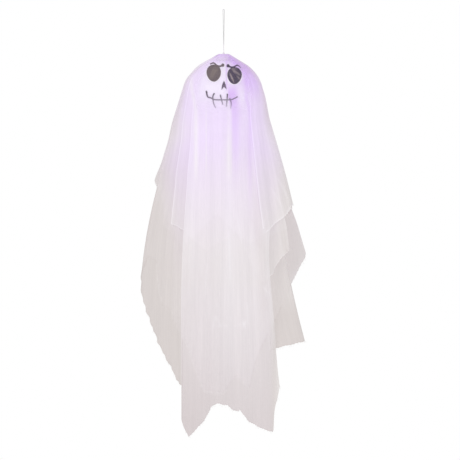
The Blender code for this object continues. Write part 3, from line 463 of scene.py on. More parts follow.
# Drapes: four sheets of sheer organza, gathered on the cord under the eyelet. Two long ones
# cross over the crown, and a short veil lies over each. Cut edges are left raw. A sheet is
# one woven skin, with main folds in step with its neighbours and fine gathers in each.
SHEET_THICKNESS = 0.0005
SHEET_SEAT = 0.0024
SHEET_PITCH = 0.0012
SHEET_SPREAD = 0.0015
SHEET_COUNT = 4
SIDE, INNER, LONG, OUTER = range(SHEET_COUNT)
SPREAD_DROP = 0.2600
TENT_SLOPE = radians(31)
FLARE_FRONT = 0.0200
FLARE_SIDE = 0.1040
FLARE_DROP = 0.5200
FLARE_START = 1.5
FLARE_POWER = 4
KICK_POWER = 1.6
FOLD_DEPTH = 0.0100
FOLD_DROP = 0.4600
MAIN_FOLDS = ((0.6, 9, 0.5), (0.4, 13, 2.1))
GATHER_STAND = 0.0006
GATHER_DEPTHS = (0.000455, 0.000780)
GATHER_DRIFT = 6
GATHERS = (
    (0.40, 26, 0.3, 1.0), (0.28, 37, 1.9, -1.5), (0.20, 53, 4.1, 2.0), (0.12, 71, 2.6, -3.0),
)
SWAY = radians(11)
SWAY_DROP = 0.6000
DRAPE_LENGTH = 0.9120
COLLAR_RADIUS = 0.0018
CAP_RADIUS = 0.0165
SHEETS_TOP = -0.1080
COLUMN_STEP = radians(0.75)
CROWN_ROWS = 8
CROWN_RADII = (0.0018, 0.0055, 0.0085, 0.0110, 0.0140, 0.0165)
CROWN_PUFF = (0.0, 0.0004, 0.0017, 0.0019, 0.0011, 0.0)
CROWN_PLEATS = ((0.25, 22, 0.7),)
RUFFLE_DEPTH = 0.0022
RUFFLE_REACH = 0.012
RUFFLES = ((0.6, 97, 1.0), (0.4, 61, 2.2))
HEM_WAVES = ((0.0009, 310, 1.3), (0.0007, 523, 0.4))
CORNER_HALF_WIDTH = 6
CORNER_CURVE = 1.5
TENT_ROWS = 10
BALL_ROWS = 16
DROP_STEP = 0.0050

# Hems: degrees round the head from the front, rightwards, and shares of the drape's length. A
# corner that sticks out is its place in degrees, its kick, and the share of length it starts at.
SIDE_LEFT_SHARES = (
    (225, 0.700), (240, 0.660), (255, 0.545), (262.5, 0.535), (270, 0.585), (277.5, 0.650),
    (285, 0.702), (292.5, 0.755), (300, 0.805), (307.5, 0.853), (315, 0.876),
)
SIDE_RIGHT_SHARES = ((45, 0.778), (60, 0.768), (75, 0.754), (82.5, 0.750))
INNER_FRONT_SHARES = (
    (-60, 0.446), (-45, 0.465), (-22.5, 0.520), (15, 0.470), (37.5, 0.600), (52.5, 0.572),
    (67.5, 0.515),
)
INNER_BACK_SHARES = ((112.5, 0.460), (150, 0.500), (187.5, 0.420), (225, 0.500), (247.5, 0.440))
FRONT_SHARES = (
    (-45, 0.958), (-37.5, 1.003), (-30, 0.976), (-22.5, 0.952), (-15, 0.925), (-7.5, 0.915),
    (3, 0.920), (8, 0.932), (13, 0.937), (14.5, 0.931), (17, 0.942), (22.5, 0.961),
    (37.5, 0.983), (45, 0.990), (46, 0.985), (46.6, 0.931), (52.5, 0.872),
)
BACK_SHARES = (
    (97.5, 0.521), (112.5, 0.600), (127.5, 0.705), (150, 0.880), (165, 0.845), (180, 0.890),
    (202.5, 0.885), (217.5, 0.800), (232.5, 0.700),
)
OUTER_SHARES = (
    (40, 0.473), (45, 0.466), (60, 0.441), (67.5, 0.424), (76, 0.396), (90, 0.390),
    (112.5, 0.425), (135, 0.490), (180, 0.400), (225, 0.490), (247.5, 0.405), (270, 0.331),
)
CORNERS = {
    FRONT_SHARES: (52.5, 0.0105, 0.86),
    BACK_SHARES: (97.5, 0.0140, 0.72),
    OUTER_SHARES: (270.0, 0.0060, 0.78),
}
KICK_REACH = DRAPE_LENGTH * SIDE_RIGHT_SHARES[-1][1] - HEAD_RADIUS
SHEETS = {
    "side_drape": (SIDE, ((SIDE_LEFT_SHARES, None), (SIDE_RIGHT_SHARES, KICK_REACH))),
    "inner_veil": (INNER, ((INNER_FRONT_SHARES, None), (INNER_BACK_SHARES, None))),
    "front_back_drape": (LONG, ((FRONT_SHARES, None), (BACK_SHARES, None))),
    "outer_veil": (OUTER, ((OUTER_SHARES, None),)),
}


def ease(share):
    """A share from 0 to 1 with soft ends."""
    share = np.clip(share, 0, 1)
    return share * share * (3 - 2 * share)


def soft_step(value, start, end):
    """From 0 at the start to 1 at the end, whichever of the two is the larger."""
    return ease((value - start) / (end - start))


def window(value, start, full, fade, end):
    """A soft step up and then down again."""
    return soft_step(value, start, full) * soft_step(value, end, fade)


def steps(value, terms):
    """Soft steps added up, each (rise, start, end)."""
    return sum(rise * soft_step(value, start, end) for rise, start, end in terms)


def patch(x, drop, strength, across, drops):
    """A strength that comes on softly over places across and over drops."""
    return strength * soft_step(x, *across) * soft_step(drop, *drops)


def over_crown(x, drop, left, across, drops):
    """From 0 below the crown to 1 on it, and at its left to a share."""
    return between(left, 1, soft_step(x, *across)) * soft_step(drop, *drops)


def streak(value, middle, half_width):
    """From 1 at the middle to almost nothing at twice the half width."""
    return np.exp(-(((value - middle) / half_width) ** 2))


def between(low, high, share):
    """A share of the way from one value to another."""
    return low + (high - low) * share


def waves(turn, terms):
    """Waves round the head, each (depth, count, phase)."""
    return sum(depth * np.cos(count * turn + phase) for depth, count, phase in terms)


def flare(turn):
    """How far a drape ends outside the head: little in front and behind, most at the sides."""
    return FLARE_FRONT + (FLARE_SIDE - FLARE_FRONT) * np.sin(turn) ** FLARE_POWER


def gathers(turn, drop):
    """Fine folds between the main ones, from -1 to 1, which drift a little on their way down."""
    total = 0
    for depth, count, phase, drift in GATHERS:
        total = total + depth * np.cos(count * turn + phase + drift * drop)
    return total


def layer_ball(layer):
    """The radius of a sheet round the ball."""
    return HEAD_RADIUS + SHEET_SEAT + SHEET_THICKNESS / 2 + layer * SHEET_PITCH


def sheet_top(layer):
    """The height of a sheet on the cap."""
    return SHEETS_TOP - SHEET_THICKNESS / 2 - (SHEET_COUNT - 1 - layer) * SHEET_PITCH


def over_head(turn, layer):
    """(radius, height) rows of a sheet from the cord, over the cap, to where it leaves the ball."""
    ball = layer_ball(layer)
    top = sheet_top(layer)
    leave = np.arctan2(1, FLARE_START * flare(turn) / FLARE_DROP)
    tangent = (ball * sin(TENT_SLOPE), HEAD_Z + ball * cos(TENT_SLOPE))
    rows = []
    for step in range(CROWN_ROWS):
        radius = between(COLLAR_RADIUS, CAP_RADIUS, step / CROWN_ROWS)
        puff = np.interp(radius, CROWN_RADII, CROWN_PUFF) * (1 + waves(turn, CROWN_PLEATS))
        rows.append((np.full_like(turn, radius), top + puff))
    for step in range(TENT_ROWS + 1):
        share = step / TENT_ROWS
        radius = between(CAP_RADIUS, tangent[0], share)
        height = between(top, tangent[1], share)
        rows.append((np.full_like(turn, radius), np.full_like(turn, height)))
    for step in range(1, BALL_ROWS + 1):
        slope = between(TENT_SLOPE, leave, step / BALL_ROWS)
        rows.append((ball * np.sin(slope), HEAD_Z + ball * np.cos(slope)))
    return rows


def hanging(turn, drop, layer, kick):
    """(radius, angle, height) of a sheet, this far below where it leaves the ball."""
    radius, height = over_head(turn, layer)[-1]
    share = np.minimum(drop / FLARE_DROP, 1)
    if kick:
        spread = (drop / kick) ** KICK_POWER
    else:
        spread = FLARE_START * share - (FLARE_START - 1) * share**3
    radius = radius + flare(turn) * spread
    radius = radius + layer * SHEET_SPREAD * ease(drop / SPREAD_DROP)
    radius = radius + FOLD_DEPTH * ease(drop / FOLD_DROP) * waves(turn, MAIN_FOLDS)
    lean = SWAY * ease(drop / SWAY_DROP) * np.maximum(0, np.sin(2 * turn))
    lean = lean * np.maximum(0, np.cos(turn))
    return radius, turn + lean, height - drop


# Slack: metres off the even round, and the drops below the loop's top that it comes on over
LEFT_SLACK = (
    (0.0034, 0.112, 0.130), (0.0036, 0.140, 0.172), (-0.0044, 0.262, 0.320),
    (-0.0026, 0.390, 0.425),
)
RIGHT_SLACK = ((-0.0060, 0.20, 0.27), (0.0060, 0.45, 0.52))
VEIL_SLACK = ((-2 * SHEET_PITCH, 0.125, 0.160), (-2 * SHEET_SPREAD, 0.205, 0.465))
VEIL_SLACK_TURN = (radians(232), radians(262))
TUCK_ANGLE = radians(8)
TUCK_TURN = (radians(20), radians(52.5))
TUCK_DROPS = (0.46, 0.60, 0.62, 0.84)


def slack(turn, height, layer):
    """How the cloth lies off its even round: pulled in at the right, and puffed out at the left.

    At the left, where it has only one sheet under it, the outer veil lies close on that.
    """
    drop = -height
    off = steps(drop, LEFT_SLACK) * np.maximum(0, -np.sin(turn))
    off = off + steps(drop, RIGHT_SLACK) * np.maximum(0, np.sin(turn))
    if layer == OUTER:
        off = off + steps(drop, VEIL_SLACK) * soft_step(turn, *VEIL_SLACK_TURN)
    return off


def tuck(turn, height):
    """How far the front panel's right side is drawn in below the veils."""
    return TUCK_ANGLE * soft_step(turn, *TUCK_TURN) * window(-height, *TUCK_DROPS)


def ruffle(turn, edge):
    """Small waves along a raw hem, which die out a little way above it."""
    return RUFFLE_DEPTH * waves(turn, RUFFLES) * np.exp(-edge / RUFFLE_REACH)


def corner(turn, share, place, kick, start):
    """A hem's corner that sticks out, from a share of the panel's length down."""
    lower = np.maximum(0, (share - start) / (1 - start))
    return kick * streak(np.degrees(turn), place, CORNER_HALF_WIDTH) * lower**CORNER_CURVE


# Folds painted in light and shade only, in metres across and in drops below the loop's top
SLANT_DROPS = (0.205, 0.250)
BROAD_VALLEY = (0.0110, 0.0145, 0.020, 0.036)
BROAD_SLANT = 0.0075
BROAD_FADE = (0.45, 0.30)
NARROW_VALLEY = (0.0532, 0.0055)
NARROW_SLANT = 0.0096
NARROW_FADE = (0.54, 0.35)
NARROW_DEPTH = 0.65
VALLEY_LOSS = 0.40
VALLEY_LOSS_DROPS = (0.205, 0.240)
RIDGES = (
    (-0.0780, 0.0120, 0.0050, 1.0, 0.145, 0.180), (0.0118, 0.0, 0.0038, 0.5, 0.215, 0.235),
    (-0.0415, 0.0, 0.0018, 0.7, 0.225, 0.245), (0.0130, 0.0, 0.0120, 0.6, 0.270, 0.320),
)
RIDGE_SLANT_DROPS = (0.17, 0.25)
RIDGE_FADE = (0.43, 0.35)
OUTLINE_SHARES = (0.86, 1.0)
OUTLINE_FADE = (0.33, 0.25)


def valleys(x, drop):
    """Painted folds right of the middle: more painted lamp violet, and painted shade."""
    slant = soft_step(drop, *SLANT_DROPS)
    broad = window(x - BROAD_SLANT * slant, *BROAD_VALLEY) * soft_step(drop, *BROAD_FADE)
    narrow = streak(x - NARROW_SLANT * slant, *NARROW_VALLEY) * soft_step(drop, *NARROW_FADE)
    return (broad + NARROW_DEPTH * narrow) * (1 - VALLEY_LOSS * soft_step(drop, *VALLEY_LOSS_DROPS))


def ridges(x, drop):
    """Painted fold highlights, each (place, slant, half width, strength, start, full)."""
    slant = soft_step(drop, *RIDGE_SLANT_DROPS)
    total = np.zeros_like(x)
    for place, shift, half_width, strength, start, full in RIDGES:
        lit = streak(x - shift * slant, place, half_width) * soft_step(drop, start, full)
        total = total + strength * lit
    return total * soft_step(drop, *RIDGE_FADE)


def outline(x, y, drop):
    """Where the ball's sides turn away from the front, for painted shade there."""
    return soft_step(np.abs(x) / np.hypot(x, y), *OUTLINE_SHARES) * soft_step(drop, *OUTLINE_FADE)


# The lamp's violet, painted into the cloth: shares of it by drop, radius and place across. A
# patch is its strength, its places across and its drops.
VIOLET_FALL_DROPS = (0.31, 0.38, 0.455, 0.57, 0.65)
VIOLET_FALL = (0.62, 0.42, 0.25, 0.08, 0.0)
VIOLET_RADII = (0.138, 0.097)
VIOLET_WIDENING = ((0.024, 0.29, 0.38),)
CROWN_VIOLET = (0.10, (-0.002, 0.020), (0.175, 0.125))
TIP_VIOLET = 0.7
TIP_DROPS = (0.122, 0.112)
UPPER_RIGHT = (1.0, (0.012, 0.060), (0.235, 0.165))
DEEP_VIOLET = 0.38
VALLEY_VIOLET = 0.5
RIDGE_VIOLET = -0.3
OUTLINE_LOSS = 0.5
RIGHT_LOSS = (0.20, (0.080, 0.100), (0.33, 0.38))
HEM_VIOLET = (0.08, (0.125, 0.105), (0.55, 0.70))


def violet_share(x, y, height, layer):
    """The lamp's violet painted on the cloth: most on the ball, less below and outside."""
    drop = -height
    near = soft_step(np.hypot(x, y) - steps(drop, VIOLET_WIDENING), *VIOLET_RADII)
    fall = np.interp(drop, VIOLET_FALL_DROPS, VIOLET_FALL)
    crown = over_crown(x, drop, *CROWN_VIOLET)
    crown = np.maximum(crown, TIP_VIOLET * soft_step(drop, *TIP_DROPS))
    deep = DEEP_VIOLET * np.maximum(crown, patch(x, drop, *UPPER_RIGHT))
    streaks = VALLEY_VIOLET * valleys(x, drop) + RIDGE_VIOLET * ridges(x, drop)
    share = near * (fall + deep) * (1 - patch(x, drop, *RIGHT_LOSS)) + streaks
    share = share * (1 - OUTLINE_LOSS * outline(x, y, drop))
    if layer == LONG:
        share = share + patch(x, drop, *HEM_VIOLET)
    return np.clip(share, 0, 1)


# Creases left from the packet, painted only as highlight lines, by sheet: from (x, height) to
# (x, height), and how strong
CREASE_HALF_WIDTH = 0.0026
CREASES = {
    LONG: (
        (0.0117, -0.526, 0.0167, -0.662, 0.8), (0.0556, -0.696, 0.0594, -0.765, 0.7),
        (-0.0279, -0.755, 0.0150, -0.753, 0.6), (0.0200, -0.756, 0.0628, -0.746, 0.6),
        (0.0430, -0.738, 0.0540, -0.764, 0.9), (0.0550, -0.740, 0.0420, -0.762, 0.9),
        (-0.0184, -0.728, -0.0279, -0.765, 0.8), (-0.0184, -0.730, -0.0060, -0.758, 0.8),
        (0.0914, -0.660, 0.1105, -0.679, 0.8), (0.1010, -0.653, 0.1010, -0.689, 0.7),
        (0.0310, -0.480, 0.0430, -0.560, 0.5), (-0.0400, -0.600, -0.0450, -0.700, 0.4),
    ),
    OUTER: (
        (0.0914, -0.521, 0.1057, -0.550, 1.0), (0.1415, -0.505, 0.1606, -0.469, 0.9),
        (0.1248, -0.395, 0.1606, -0.464, 0.7), (0.1100, -0.420, 0.1450, -0.480, 0.5),
        (-0.1480, -0.405, -0.1520, -0.470, 0.5),
    ),
}


def creases(x, y, height, layer):
    """Sharp little packet folds, as faint painted highlight lines on the front of a sheet."""
    total = np.zeros_like(x)
    for x_from, z_from, x_to, z_to, strength in CREASES.get(layer, ()):
        run, fall = x_to - x_from, z_to - z_from
        along = (x - x_from) * run + (height - z_from) * fall
        share = np.clip(along / (run**2 + fall**2), 0, 1)
        apart = np.hypot(x - x_from - share * run, height - z_from - share * fall)
        ends = 2 * np.sqrt(share * (1 - share))
        total = total + strength * streak(apart, 0, CREASE_HALF_WIDTH) * ends
    return total * (y < 0)


# Painted lamplight in the cloth, with painted shade and highlights: shares of it by sheet, by
# drop and by place across
FREE_LAMP_SHARES = {SIDE: 0.15, INNER: 0.42, LONG: 1.0, OUTER: 0.35}
OUTER_LAMP = ((0.28, 0.04, 0.09),)
LONG_LAMP = ((-0.30, 0.07, 0.10),)
LONG_RIGHT_LAMP = ((-0.70, 0.118, 0.138),)
BALL_LAMP = 0.85
BALL_DROPS = (0.43, 0.25)
LAMP_FALL_DROPS = (0.30, 0.44, 0.56, 0.69, 0.75, 0.836, 0.90, 0.98)
LAMP_FALL = (0.86, 0.88, 0.87, 0.74, 0.62, 0.42, 0.22, 0.0)
CROWN_SHADE = 0.62
CROWN_SHADED = (0.30, (-0.005, 0.018), (0.165, 0.115))
RIGHT_SHADE = (0.55, (0.015, 0.065), (0.24, 0.17))
VALLEY_SHADE = 0.6
OUTLINE_SHADE = 0.65
RIDGE_LAMP = 0.25
CREASE_LAMP = 0.5
TIP_SHADE_ACROSS = (0.012, 0.036)
TIP_RIGHT_SHADE = ((0.55, 0.180, 0.125),)
TIP_LEFT_SHADE = ((0.35, 0.121, 0.112),)
VEIL_RIM_WIDTH = 0.003
VEIL_RIM_LAMP = 0.45
VEIL_RIM_RIGHT_LAMP = ((0.25, 0.04, 0.06),)
LEFT_PALE_LAMP = 0.16
LEFT_PALE_ACROSS = (-0.150, 0.018)
LEFT_PALE_DROP = (0.440, 0.045)
CLEAR_LAMP = 0.06
CLEAR_ACROSS = (0.100, 0.118)
CLEAR_DROPS = (0.54, 0.58, 0.66, 0.74)

# The long drape's own painted light: highlights at its edges and middle, its lower half, and a
# painted shadow in a fold at the right
LONG_RIM_WIDTH = 0.020
LONG_RIM_LAMP = ((0.22, 0.20, 0.30),)
MIDDLE_STREAK = (0.012, 0.016)
MIDDLE_LAMP = ((0.30, 0.34, 0.46),)
LOWER_DROPS = (0.56, 0.72)
LOWER_LAMP = ((0.10, 0.005, 0.045), (-0.14, -0.045, -0.080))
SHADED_FOLD_START = 0.059
SHADED_FOLD_DRIFT = ((0.019, 0.33, 0.46), (0.018, 0.50, 0.62))
SHADED_FOLD_WIDTH = 0.013
SHADED_FOLD_DEPTH = (
    (0.24, 0.25, 0.31), (0.20, 0.41, 0.47), (-0.24, 0.54, 0.62), (-0.20, 0.68, 0.76),
)


def clear_at_right(x, drop):
    """Where the side drape shows alone, between the veils' hems and its own."""
    return soft_step(x, *CLEAR_ACROSS) * window(drop, *CLEAR_DROPS)


def free_lamp(x, layer):
    """How much painted lamplight a sheet shows where it hangs free of the ball."""
    if layer == OUTER:
        return FREE_LAMP_SHARES[layer] + steps(x, OUTER_LAMP)
    if layer == LONG:
        return FREE_LAMP_SHARES[layer] + steps(np.abs(x), LONG_LAMP) + steps(x, LONG_RIGHT_LAMP)
    return FREE_LAMP_SHARES[layer]


def long_drape_lamp(x, drop, edge, fall):
    """The painted light and shade the long drape has more or less of than the other sheets."""
    rim = streak(edge, 0, LONG_RIM_WIDTH) * steps(drop, LONG_RIM_LAMP)
    middle = streak(x, *MIDDLE_STREAK) * steps(drop, MIDDLE_LAMP)
    lower = soft_step(drop, *LOWER_DROPS) * steps(x, LOWER_LAMP)
    shaded = SHADED_FOLD_START + steps(drop, SHADED_FOLD_DRIFT)
    shade = steps(drop, SHADED_FOLD_DEPTH) * streak(x, shaded, SHADED_FOLD_WIDTH)
    return fall * (rim + middle) + lower - shade


def lit_share(x, y, height, edge, layer):
    """Painted lamplight on the cloth: most below the face, none at the crown and hems."""
    drop = -height
    own = free_lamp(x, layer)
    share = own + np.maximum(0, BALL_LAMP - own) * soft_step(drop, *BALL_DROPS)
    fall = np.interp(drop, LAMP_FALL_DROPS, LAMP_FALL)
    # Painted shade at the crown, the right, the fold valleys and the sides; painted highlights on
    # the ridges, creases and hems
    crown = 1 - CROWN_SHADE * over_crown(x, drop, *CROWN_SHADED)
    valley = 1 - VALLEY_SHADE * np.clip(valleys(x, drop), 0, 1)
    share = share * fall * crown * (1 - patch(x, drop, *RIGHT_SHADE)) * valley
    share = share * (1 - OUTLINE_SHADE * outline(x, y, drop)) + RIDGE_LAMP * ridges(x, drop)
    tip_right = soft_step(x, *TIP_SHADE_ACROSS)
    share = share - between(steps(drop, TIP_LEFT_SHADE), steps(drop, TIP_RIGHT_SHADE), tip_right)
    share = share + CREASE_LAMP * creases(x, y, height, layer) * fall
    if layer in (INNER, OUTER):
        rim = VEIL_RIM_LAMP + steps(x, VEIL_RIM_RIGHT_LAMP)
        share = share + rim * streak(edge, 0, VEIL_RIM_WIDTH) * fall
    if layer in (SIDE, OUTER):
        pale = streak(x, *LEFT_PALE_ACROSS) * streak(drop, *LEFT_PALE_DROP)
        share = share + LEFT_PALE_LAMP * pale
    if layer == SIDE:
        share = share + CLEAR_LAMP * clear_at_right(x, drop)
    if layer == LONG:
        share = share + long_drape_lamp(x, drop, edge, fall)
    return share


# How close the weave looks: shares by the turn away from the face, in degrees, and by drop
FACE_TURN = (52, 34)
FACE_OPACITY = 0.05
FREE_OPACITY = 0.60
HANGING_OPACITY = 0.80
FACE_DROPS = (0.185, 0.300)
FREE_DROPS = (0.190, 0.305)
CROWN_DROPS = (0.130, 0.108)


def opacity(turn, height):
    """Sheer where the cloth is drawn tight over the face, and closer where it hangs."""
    drop = -height
    away = np.abs((np.degrees(turn) + 180) % 360 - 180)
    over_face = between(FACE_OPACITY, HANGING_OPACITY, soft_step(drop, *FACE_DROPS))
    elsewhere = between(FREE_OPACITY, HANGING_OPACITY, soft_step(drop, *FREE_DROPS))
    share = between(elsewhere, over_face, soft_step(away, *FACE_TURN))
    return between(share, HANGING_OPACITY, soft_step(drop, *CROWN_DROPS))


def head_rows(turns, head, layer):
    """A panel's rows over the head, each (radius, angle, height, along, to an edge)."""
    along = np.full_like(turns, CAP_RADIUS)
    side = HEAD_RADIUS * np.minimum(turns - turns[0], turns[-1] - turns)
    before = head[0]
    rows = []
    for index, (radius, height) in enumerate(head):
        along = along + np.hypot(radius - before[0], height - before[1])
        gathered = GATHER_STAND * ease(index / len(head)) * (1 + gathers(turns, 0))
        rows.append((radius + gathered + slack(turns, height, layer), turns, height, along, side))
        before = (radius, height)
    return rows


def hanging_rows(turns, length, along, hem, layer, kick):
    """A panel's rows below the ball, each (radius, angle, height, along, to an edge)."""
    count = round(float(length.max()) / DROP_STEP)
    rows = []
    for step in range(1, count + 1):
        drop = length * step / count
        radius, angle, height = hanging(turns, drop, layer, kick)
        depth = between(*GATHER_DEPTHS, ease(drop / FOLD_DROP))
        gathered = GATHER_STAND + depth * gathers(turns, GATHER_DRIFT * drop)
        radius = radius + gathered + slack(turns, height, layer)
        if hem is SIDE_LEFT_SHARES:
            radius = radius + ruffle(turns, length - drop)
        if hem is FRONT_SHARES:
            angle = angle - tuck(turns, height)
        if hem in CORNERS:
            radius = radius + corner(turns, drop / length, *CORNERS[hem])
        side = radius * np.minimum(turns - turns[0], turns[-1] - turns)
        rows.append((radius, angle, height, along + drop, np.minimum(side, length - drop)))
    return rows


def sheet_grids(name):
    """A sheet's collar and panels: x, y, height, width along, length along, to an edge and turn."""
    layer, panels = SHEETS[name]
    ring = np.linspace(0, 2 * pi, round(2 * pi / COLUMN_STEP) + 1)
    whole = np.ones_like(ring)
    collar = over_head(ring, layer)[: CROWN_ROWS + 1]
    grids = [(ring, [(radius, ring, height, radius, whole) for radius, height in collar])]
    for hem, kick in panels:
        first, last = radians(hem[0][0]), radians(hem[-1][0])
        turns = np.linspace(first, last, round((last - first) / COLUMN_STEP) + 1)
        head = over_head(turns, layer)[CROWN_ROWS:]
        length = DRAPE_LENGTH * np.interp(np.degrees(turns), *zip(*hem))
        length = length - (KNOT_Z - head[-1][1]) + waves(turns, HEM_WAVES)
        rows = head_rows(turns, head, layer)
        rows = rows + hanging_rows(turns, length, rows[-1][3], hem, layer, kick)
        grids.append((turns, rows))
    finished = []
    for turns, rows in grids:
        radius, angle, height, along, edge = (np.array(part) for part in zip(*rows))
        wide = np.broadcast_to(turns * HEAD_RADIUS, radius.shape)
        x, y = radius * np.sin(angle), -radius * np.cos(angle)
        finished.append((x, y, height, wide, along, edge, angle))
    return finished


# Chart of overlaps: cells across and up the front of the ghost. A place in it is kept PAST_LAST
# cells short of its end. The overlaps set a painted tone, paler where more skins lie behind one
# another. Where the cloth hangs clear, it is painted with the tone of more skins.
CELL = 0.002
CHART_LOW = (-0.22, -1.04)
CHART_SIZE = (220, 520)
PAST_LAST = 1.001
LEAST_SKINS = ((1.2, 0.50, 0.40),)
CLEAR_SKINS = 0.6
RIGHT_SKINS = (1.4, (0.118, 0.138), (0.44, 0.50))


def count_skins(all_grids):
    """A smooth chart over x and height of how many skins of cloth lie behind one another."""
    levels = CHART_LOW[1] + CELL * (np.arange(CHART_SIZE[1]) + 0.5)
    chart = np.zeros((CHART_SIZE[1], CHART_SIZE[0] + 1))
    for x, _, height, *_ in all_grids:
        spots = np.full((len(levels), x.shape[1]), np.nan)
        for column in range(x.shape[1]):
            drop = -height[:, column]
            spots[:, column] = np.interp(-levels, drop, x[:, column], left=np.nan, right=np.nan)
        cells = (spots - CHART_LOW[0]) / CELL
        low = np.minimum(cells[:, 1:], cells[:, :-1])
        high = np.maximum(cells[:, 1:], cells[:, :-1])
        row, column = np.nonzero(~np.isnan(low))
        np.add.at(chart, (row, low[row, column].astype(int)), 1)
        np.add.at(chart, (row, high[row, column].astype(int)), -1)
    chart = np.cumsum(chart, axis=1)[:, :-1]
    for axis in (0, 1):
        near = [np.roll(chart, step, axis) for step in (-1, 0, 1)]
        chart = (near[0] + 2 * near[1] + near[2]) / 4
    return chart


def skins_at(chart, x, height):
    """The chart's number of skins at a place."""
    column = np.clip((x - CHART_LOW[0]) / CELL - 0.5, 0, CHART_SIZE[0] - PAST_LAST)
    row = np.clip((height - CHART_LOW[1]) / CELL - 0.5, 0, CHART_SIZE[1] - PAST_LAST)
    low_row, low_column = row.astype(int), column.astype(int)
    up, right = row - low_row, column - low_column
    lower, upper = (
        between(chart[level, low_column], chart[level, low_column + 1], right)
        for level in (low_row, low_row + 1)
    )
    return between(lower, upper, up)


def cover(chart, x, height, layer):
    """Skins for the painted tone: more than there are where the cloth is clear at the right."""
    drop = -height
    skins = np.maximum(skins_at(chart, x, height), 1 + steps(drop, LEAST_SKINS))
    if layer == SIDE:
        skins = skins + CLEAR_SKINS * clear_at_right(x, drop)
    if layer == LONG:
        skins = skins + patch(x, drop, *RIGHT_SKINS)
    return skins


# What the cloth's points know: how far to an edge, how many skins, and their three shares of
# painted violet, painted lamplight and opacity
MARKS = ("edge", "cover", "violet", "lit", "sheer")


def weave_sheet(name, grids, chart):
    """One sheet as a single skin, with its map and its attributes."""
    layer = SHEETS[name][0]
    verts, faces, marks = [], [], []
    for x, y, height, wide, along, edge, angle in grids:
        rows, columns = x.shape
        start = len(verts)
        parts = (
            wide,
            along,
            edge,
            cover(chart, x, height, layer),
            violet_share(x, y, height, layer),
            lit_share(x, y, height, edge, layer),
            opacity(angle, height),
        )
        verts.extend(zip(x.ravel(), y.ravel(), height.ravel()))
        marks.extend(zip(*(part.ravel() for part in parts)))
        for row in range(rows - 1):
            for spot in range(start + row * columns, start + (row + 1) * columns - 1):
                faces.append((spot, spot + 1, spot + columns + 1, spot + columns))

    mesh = bpy.data.meshes.new(name)
    mesh.from_pydata(verts, [], faces)
    marks = np.array(marks)
    for index, attribute in enumerate(MARKS, start=2):
        made = mesh.attributes.new(attribute, "FLOAT", "POINT")
        made.data.foreach_set("value", marks[:, index].astype(np.float32))
    corners = np.zeros(len(mesh.loops), np.int32)
    mesh.loops.foreach_get("vertex_index", corners)
    map_of_threads = mesh.uv_layers.new(name="threads")
    map_of_threads.data.foreach_set("uv", marks[corners, :2].astype(np.float32).ravel())
    mesh.shade_smooth()
    return mesh


# Organza: its painted tone with one to four skins (paler with more), the lamp's violet and the
# lamplight painted into it and the share of its colour painted as glow, its threads down the
# cloth (how fine, and how much detail), and how far its raw edge shows
SKIN_TONES = (
    (0.635, 0.567, 0.547), (0.735, 0.680, 0.664), (0.765, 0.712, 0.700), (0.785, 0.735, 0.725),
)
PAINTED_LAMP_VIOLET = (0.80, 0.62, 0.95)
LAMPLIGHT = (0.135, 0.150, 0.165)
GLOW_SHARE = 0.32
THREADS = (((700, 9, 1), 3.0), ((110, 2.2, 1), 2.0))
THREAD_TONES = (0.2, 0.8, 0.97, 1.03)
THREAD_RELIEF = 0.0003
RAW_EDGE = (0.0, 0.0022, 0.18, 0.0)


def gauze():
    """Sheer organza, painted paler where sheets overlap, with painted lamp violet and glow."""
    made, tree, shader = new_look("sheer_gauze")
    fill(shader, Roughness=0.85, Sheen_Weight=0.12, Sheen_Roughness=0.4)
    fill(shader, Specular_IOR_Level=0.2, Emission_Strength=1.0)
    own = {
        name: add(tree, "ShaderNodeAttribute", attribute_name=name).outputs["Fac"]
        for name in MARKS
    }
    # Painted tone: paler with more skins behind one another
    tone = add(tree, "ShaderNodeMapRange", (own["cover"], "Value"))
    fill(tone, From_Min=1.0, From_Max=len(SKIN_TONES))
    layers = add(tree, "ShaderNodeValToRGB", (tone.outputs[0], "Fac"))
    stops = layers.color_ramp.elements
    stops[0].color = (*SKIN_TONES[0], 1)
    stops[1].color = (*SKIN_TONES[-1], 1)
    for number, colour in enumerate(SKIN_TONES[1:-1], start=1):
        stops.new(number / (len(SKIN_TONES) - 1)).color = (*colour, 1)
    # The lamp's violet, painted in where the cloth is near the ball
    cloth = blend(tree, own["violet"], layers.outputs["Color"], PAINTED_LAMP_VIOLET)

    woven = add(tree, "ShaderNodeUVMap", uv_map="threads").outputs[0]
    weaves = []
    for scale, detail in THREADS:
        drawn = add(tree, "ShaderNodeMapping", (woven, "Vector"), Scale=scale).outputs[0]
        noise = add(tree, "ShaderNodeTexNoise", (drawn, "Vector"), Scale=1.0, Detail=detail)
        weaves.append(noise.outputs["Fac"])
    shade = reckon(tree, "MULTIPLY", *(ramp(tree, weave, *THREAD_TONES) for weave in weaves))
    threaded = scaled(tree, cloth, shade)
    # A share of the colour is painted as glow, with the painted lamplight added
    fill(shader, Base_Color=scaled(tree, threaded, 1 - GLOW_SHARE))
    inner = scaled(tree, threaded, GLOW_SHARE)
    lamp = blend(tree, own["lit"], (0.0, 0.0, 0.0), LAMPLIGHT)
    lamp.node.clamp_factor = False
    total = add(tree, "ShaderNodeVectorMath", (inner, 0), (lamp, 1), operation="ADD")
    fill(shader, Emission_Color=total.outputs[0])

    bump = add(tree, "ShaderNodeBump", (weaves[0], "Height"), Distance=THREAD_RELIEF)
    fill(shader, Normal=bump.outputs[0])
    rim = ramp(tree, own["edge"], *RAW_EDGE)
    fill(shader, Alpha=reckon(tree, "ADD", own["sheer"], rim))
    return made


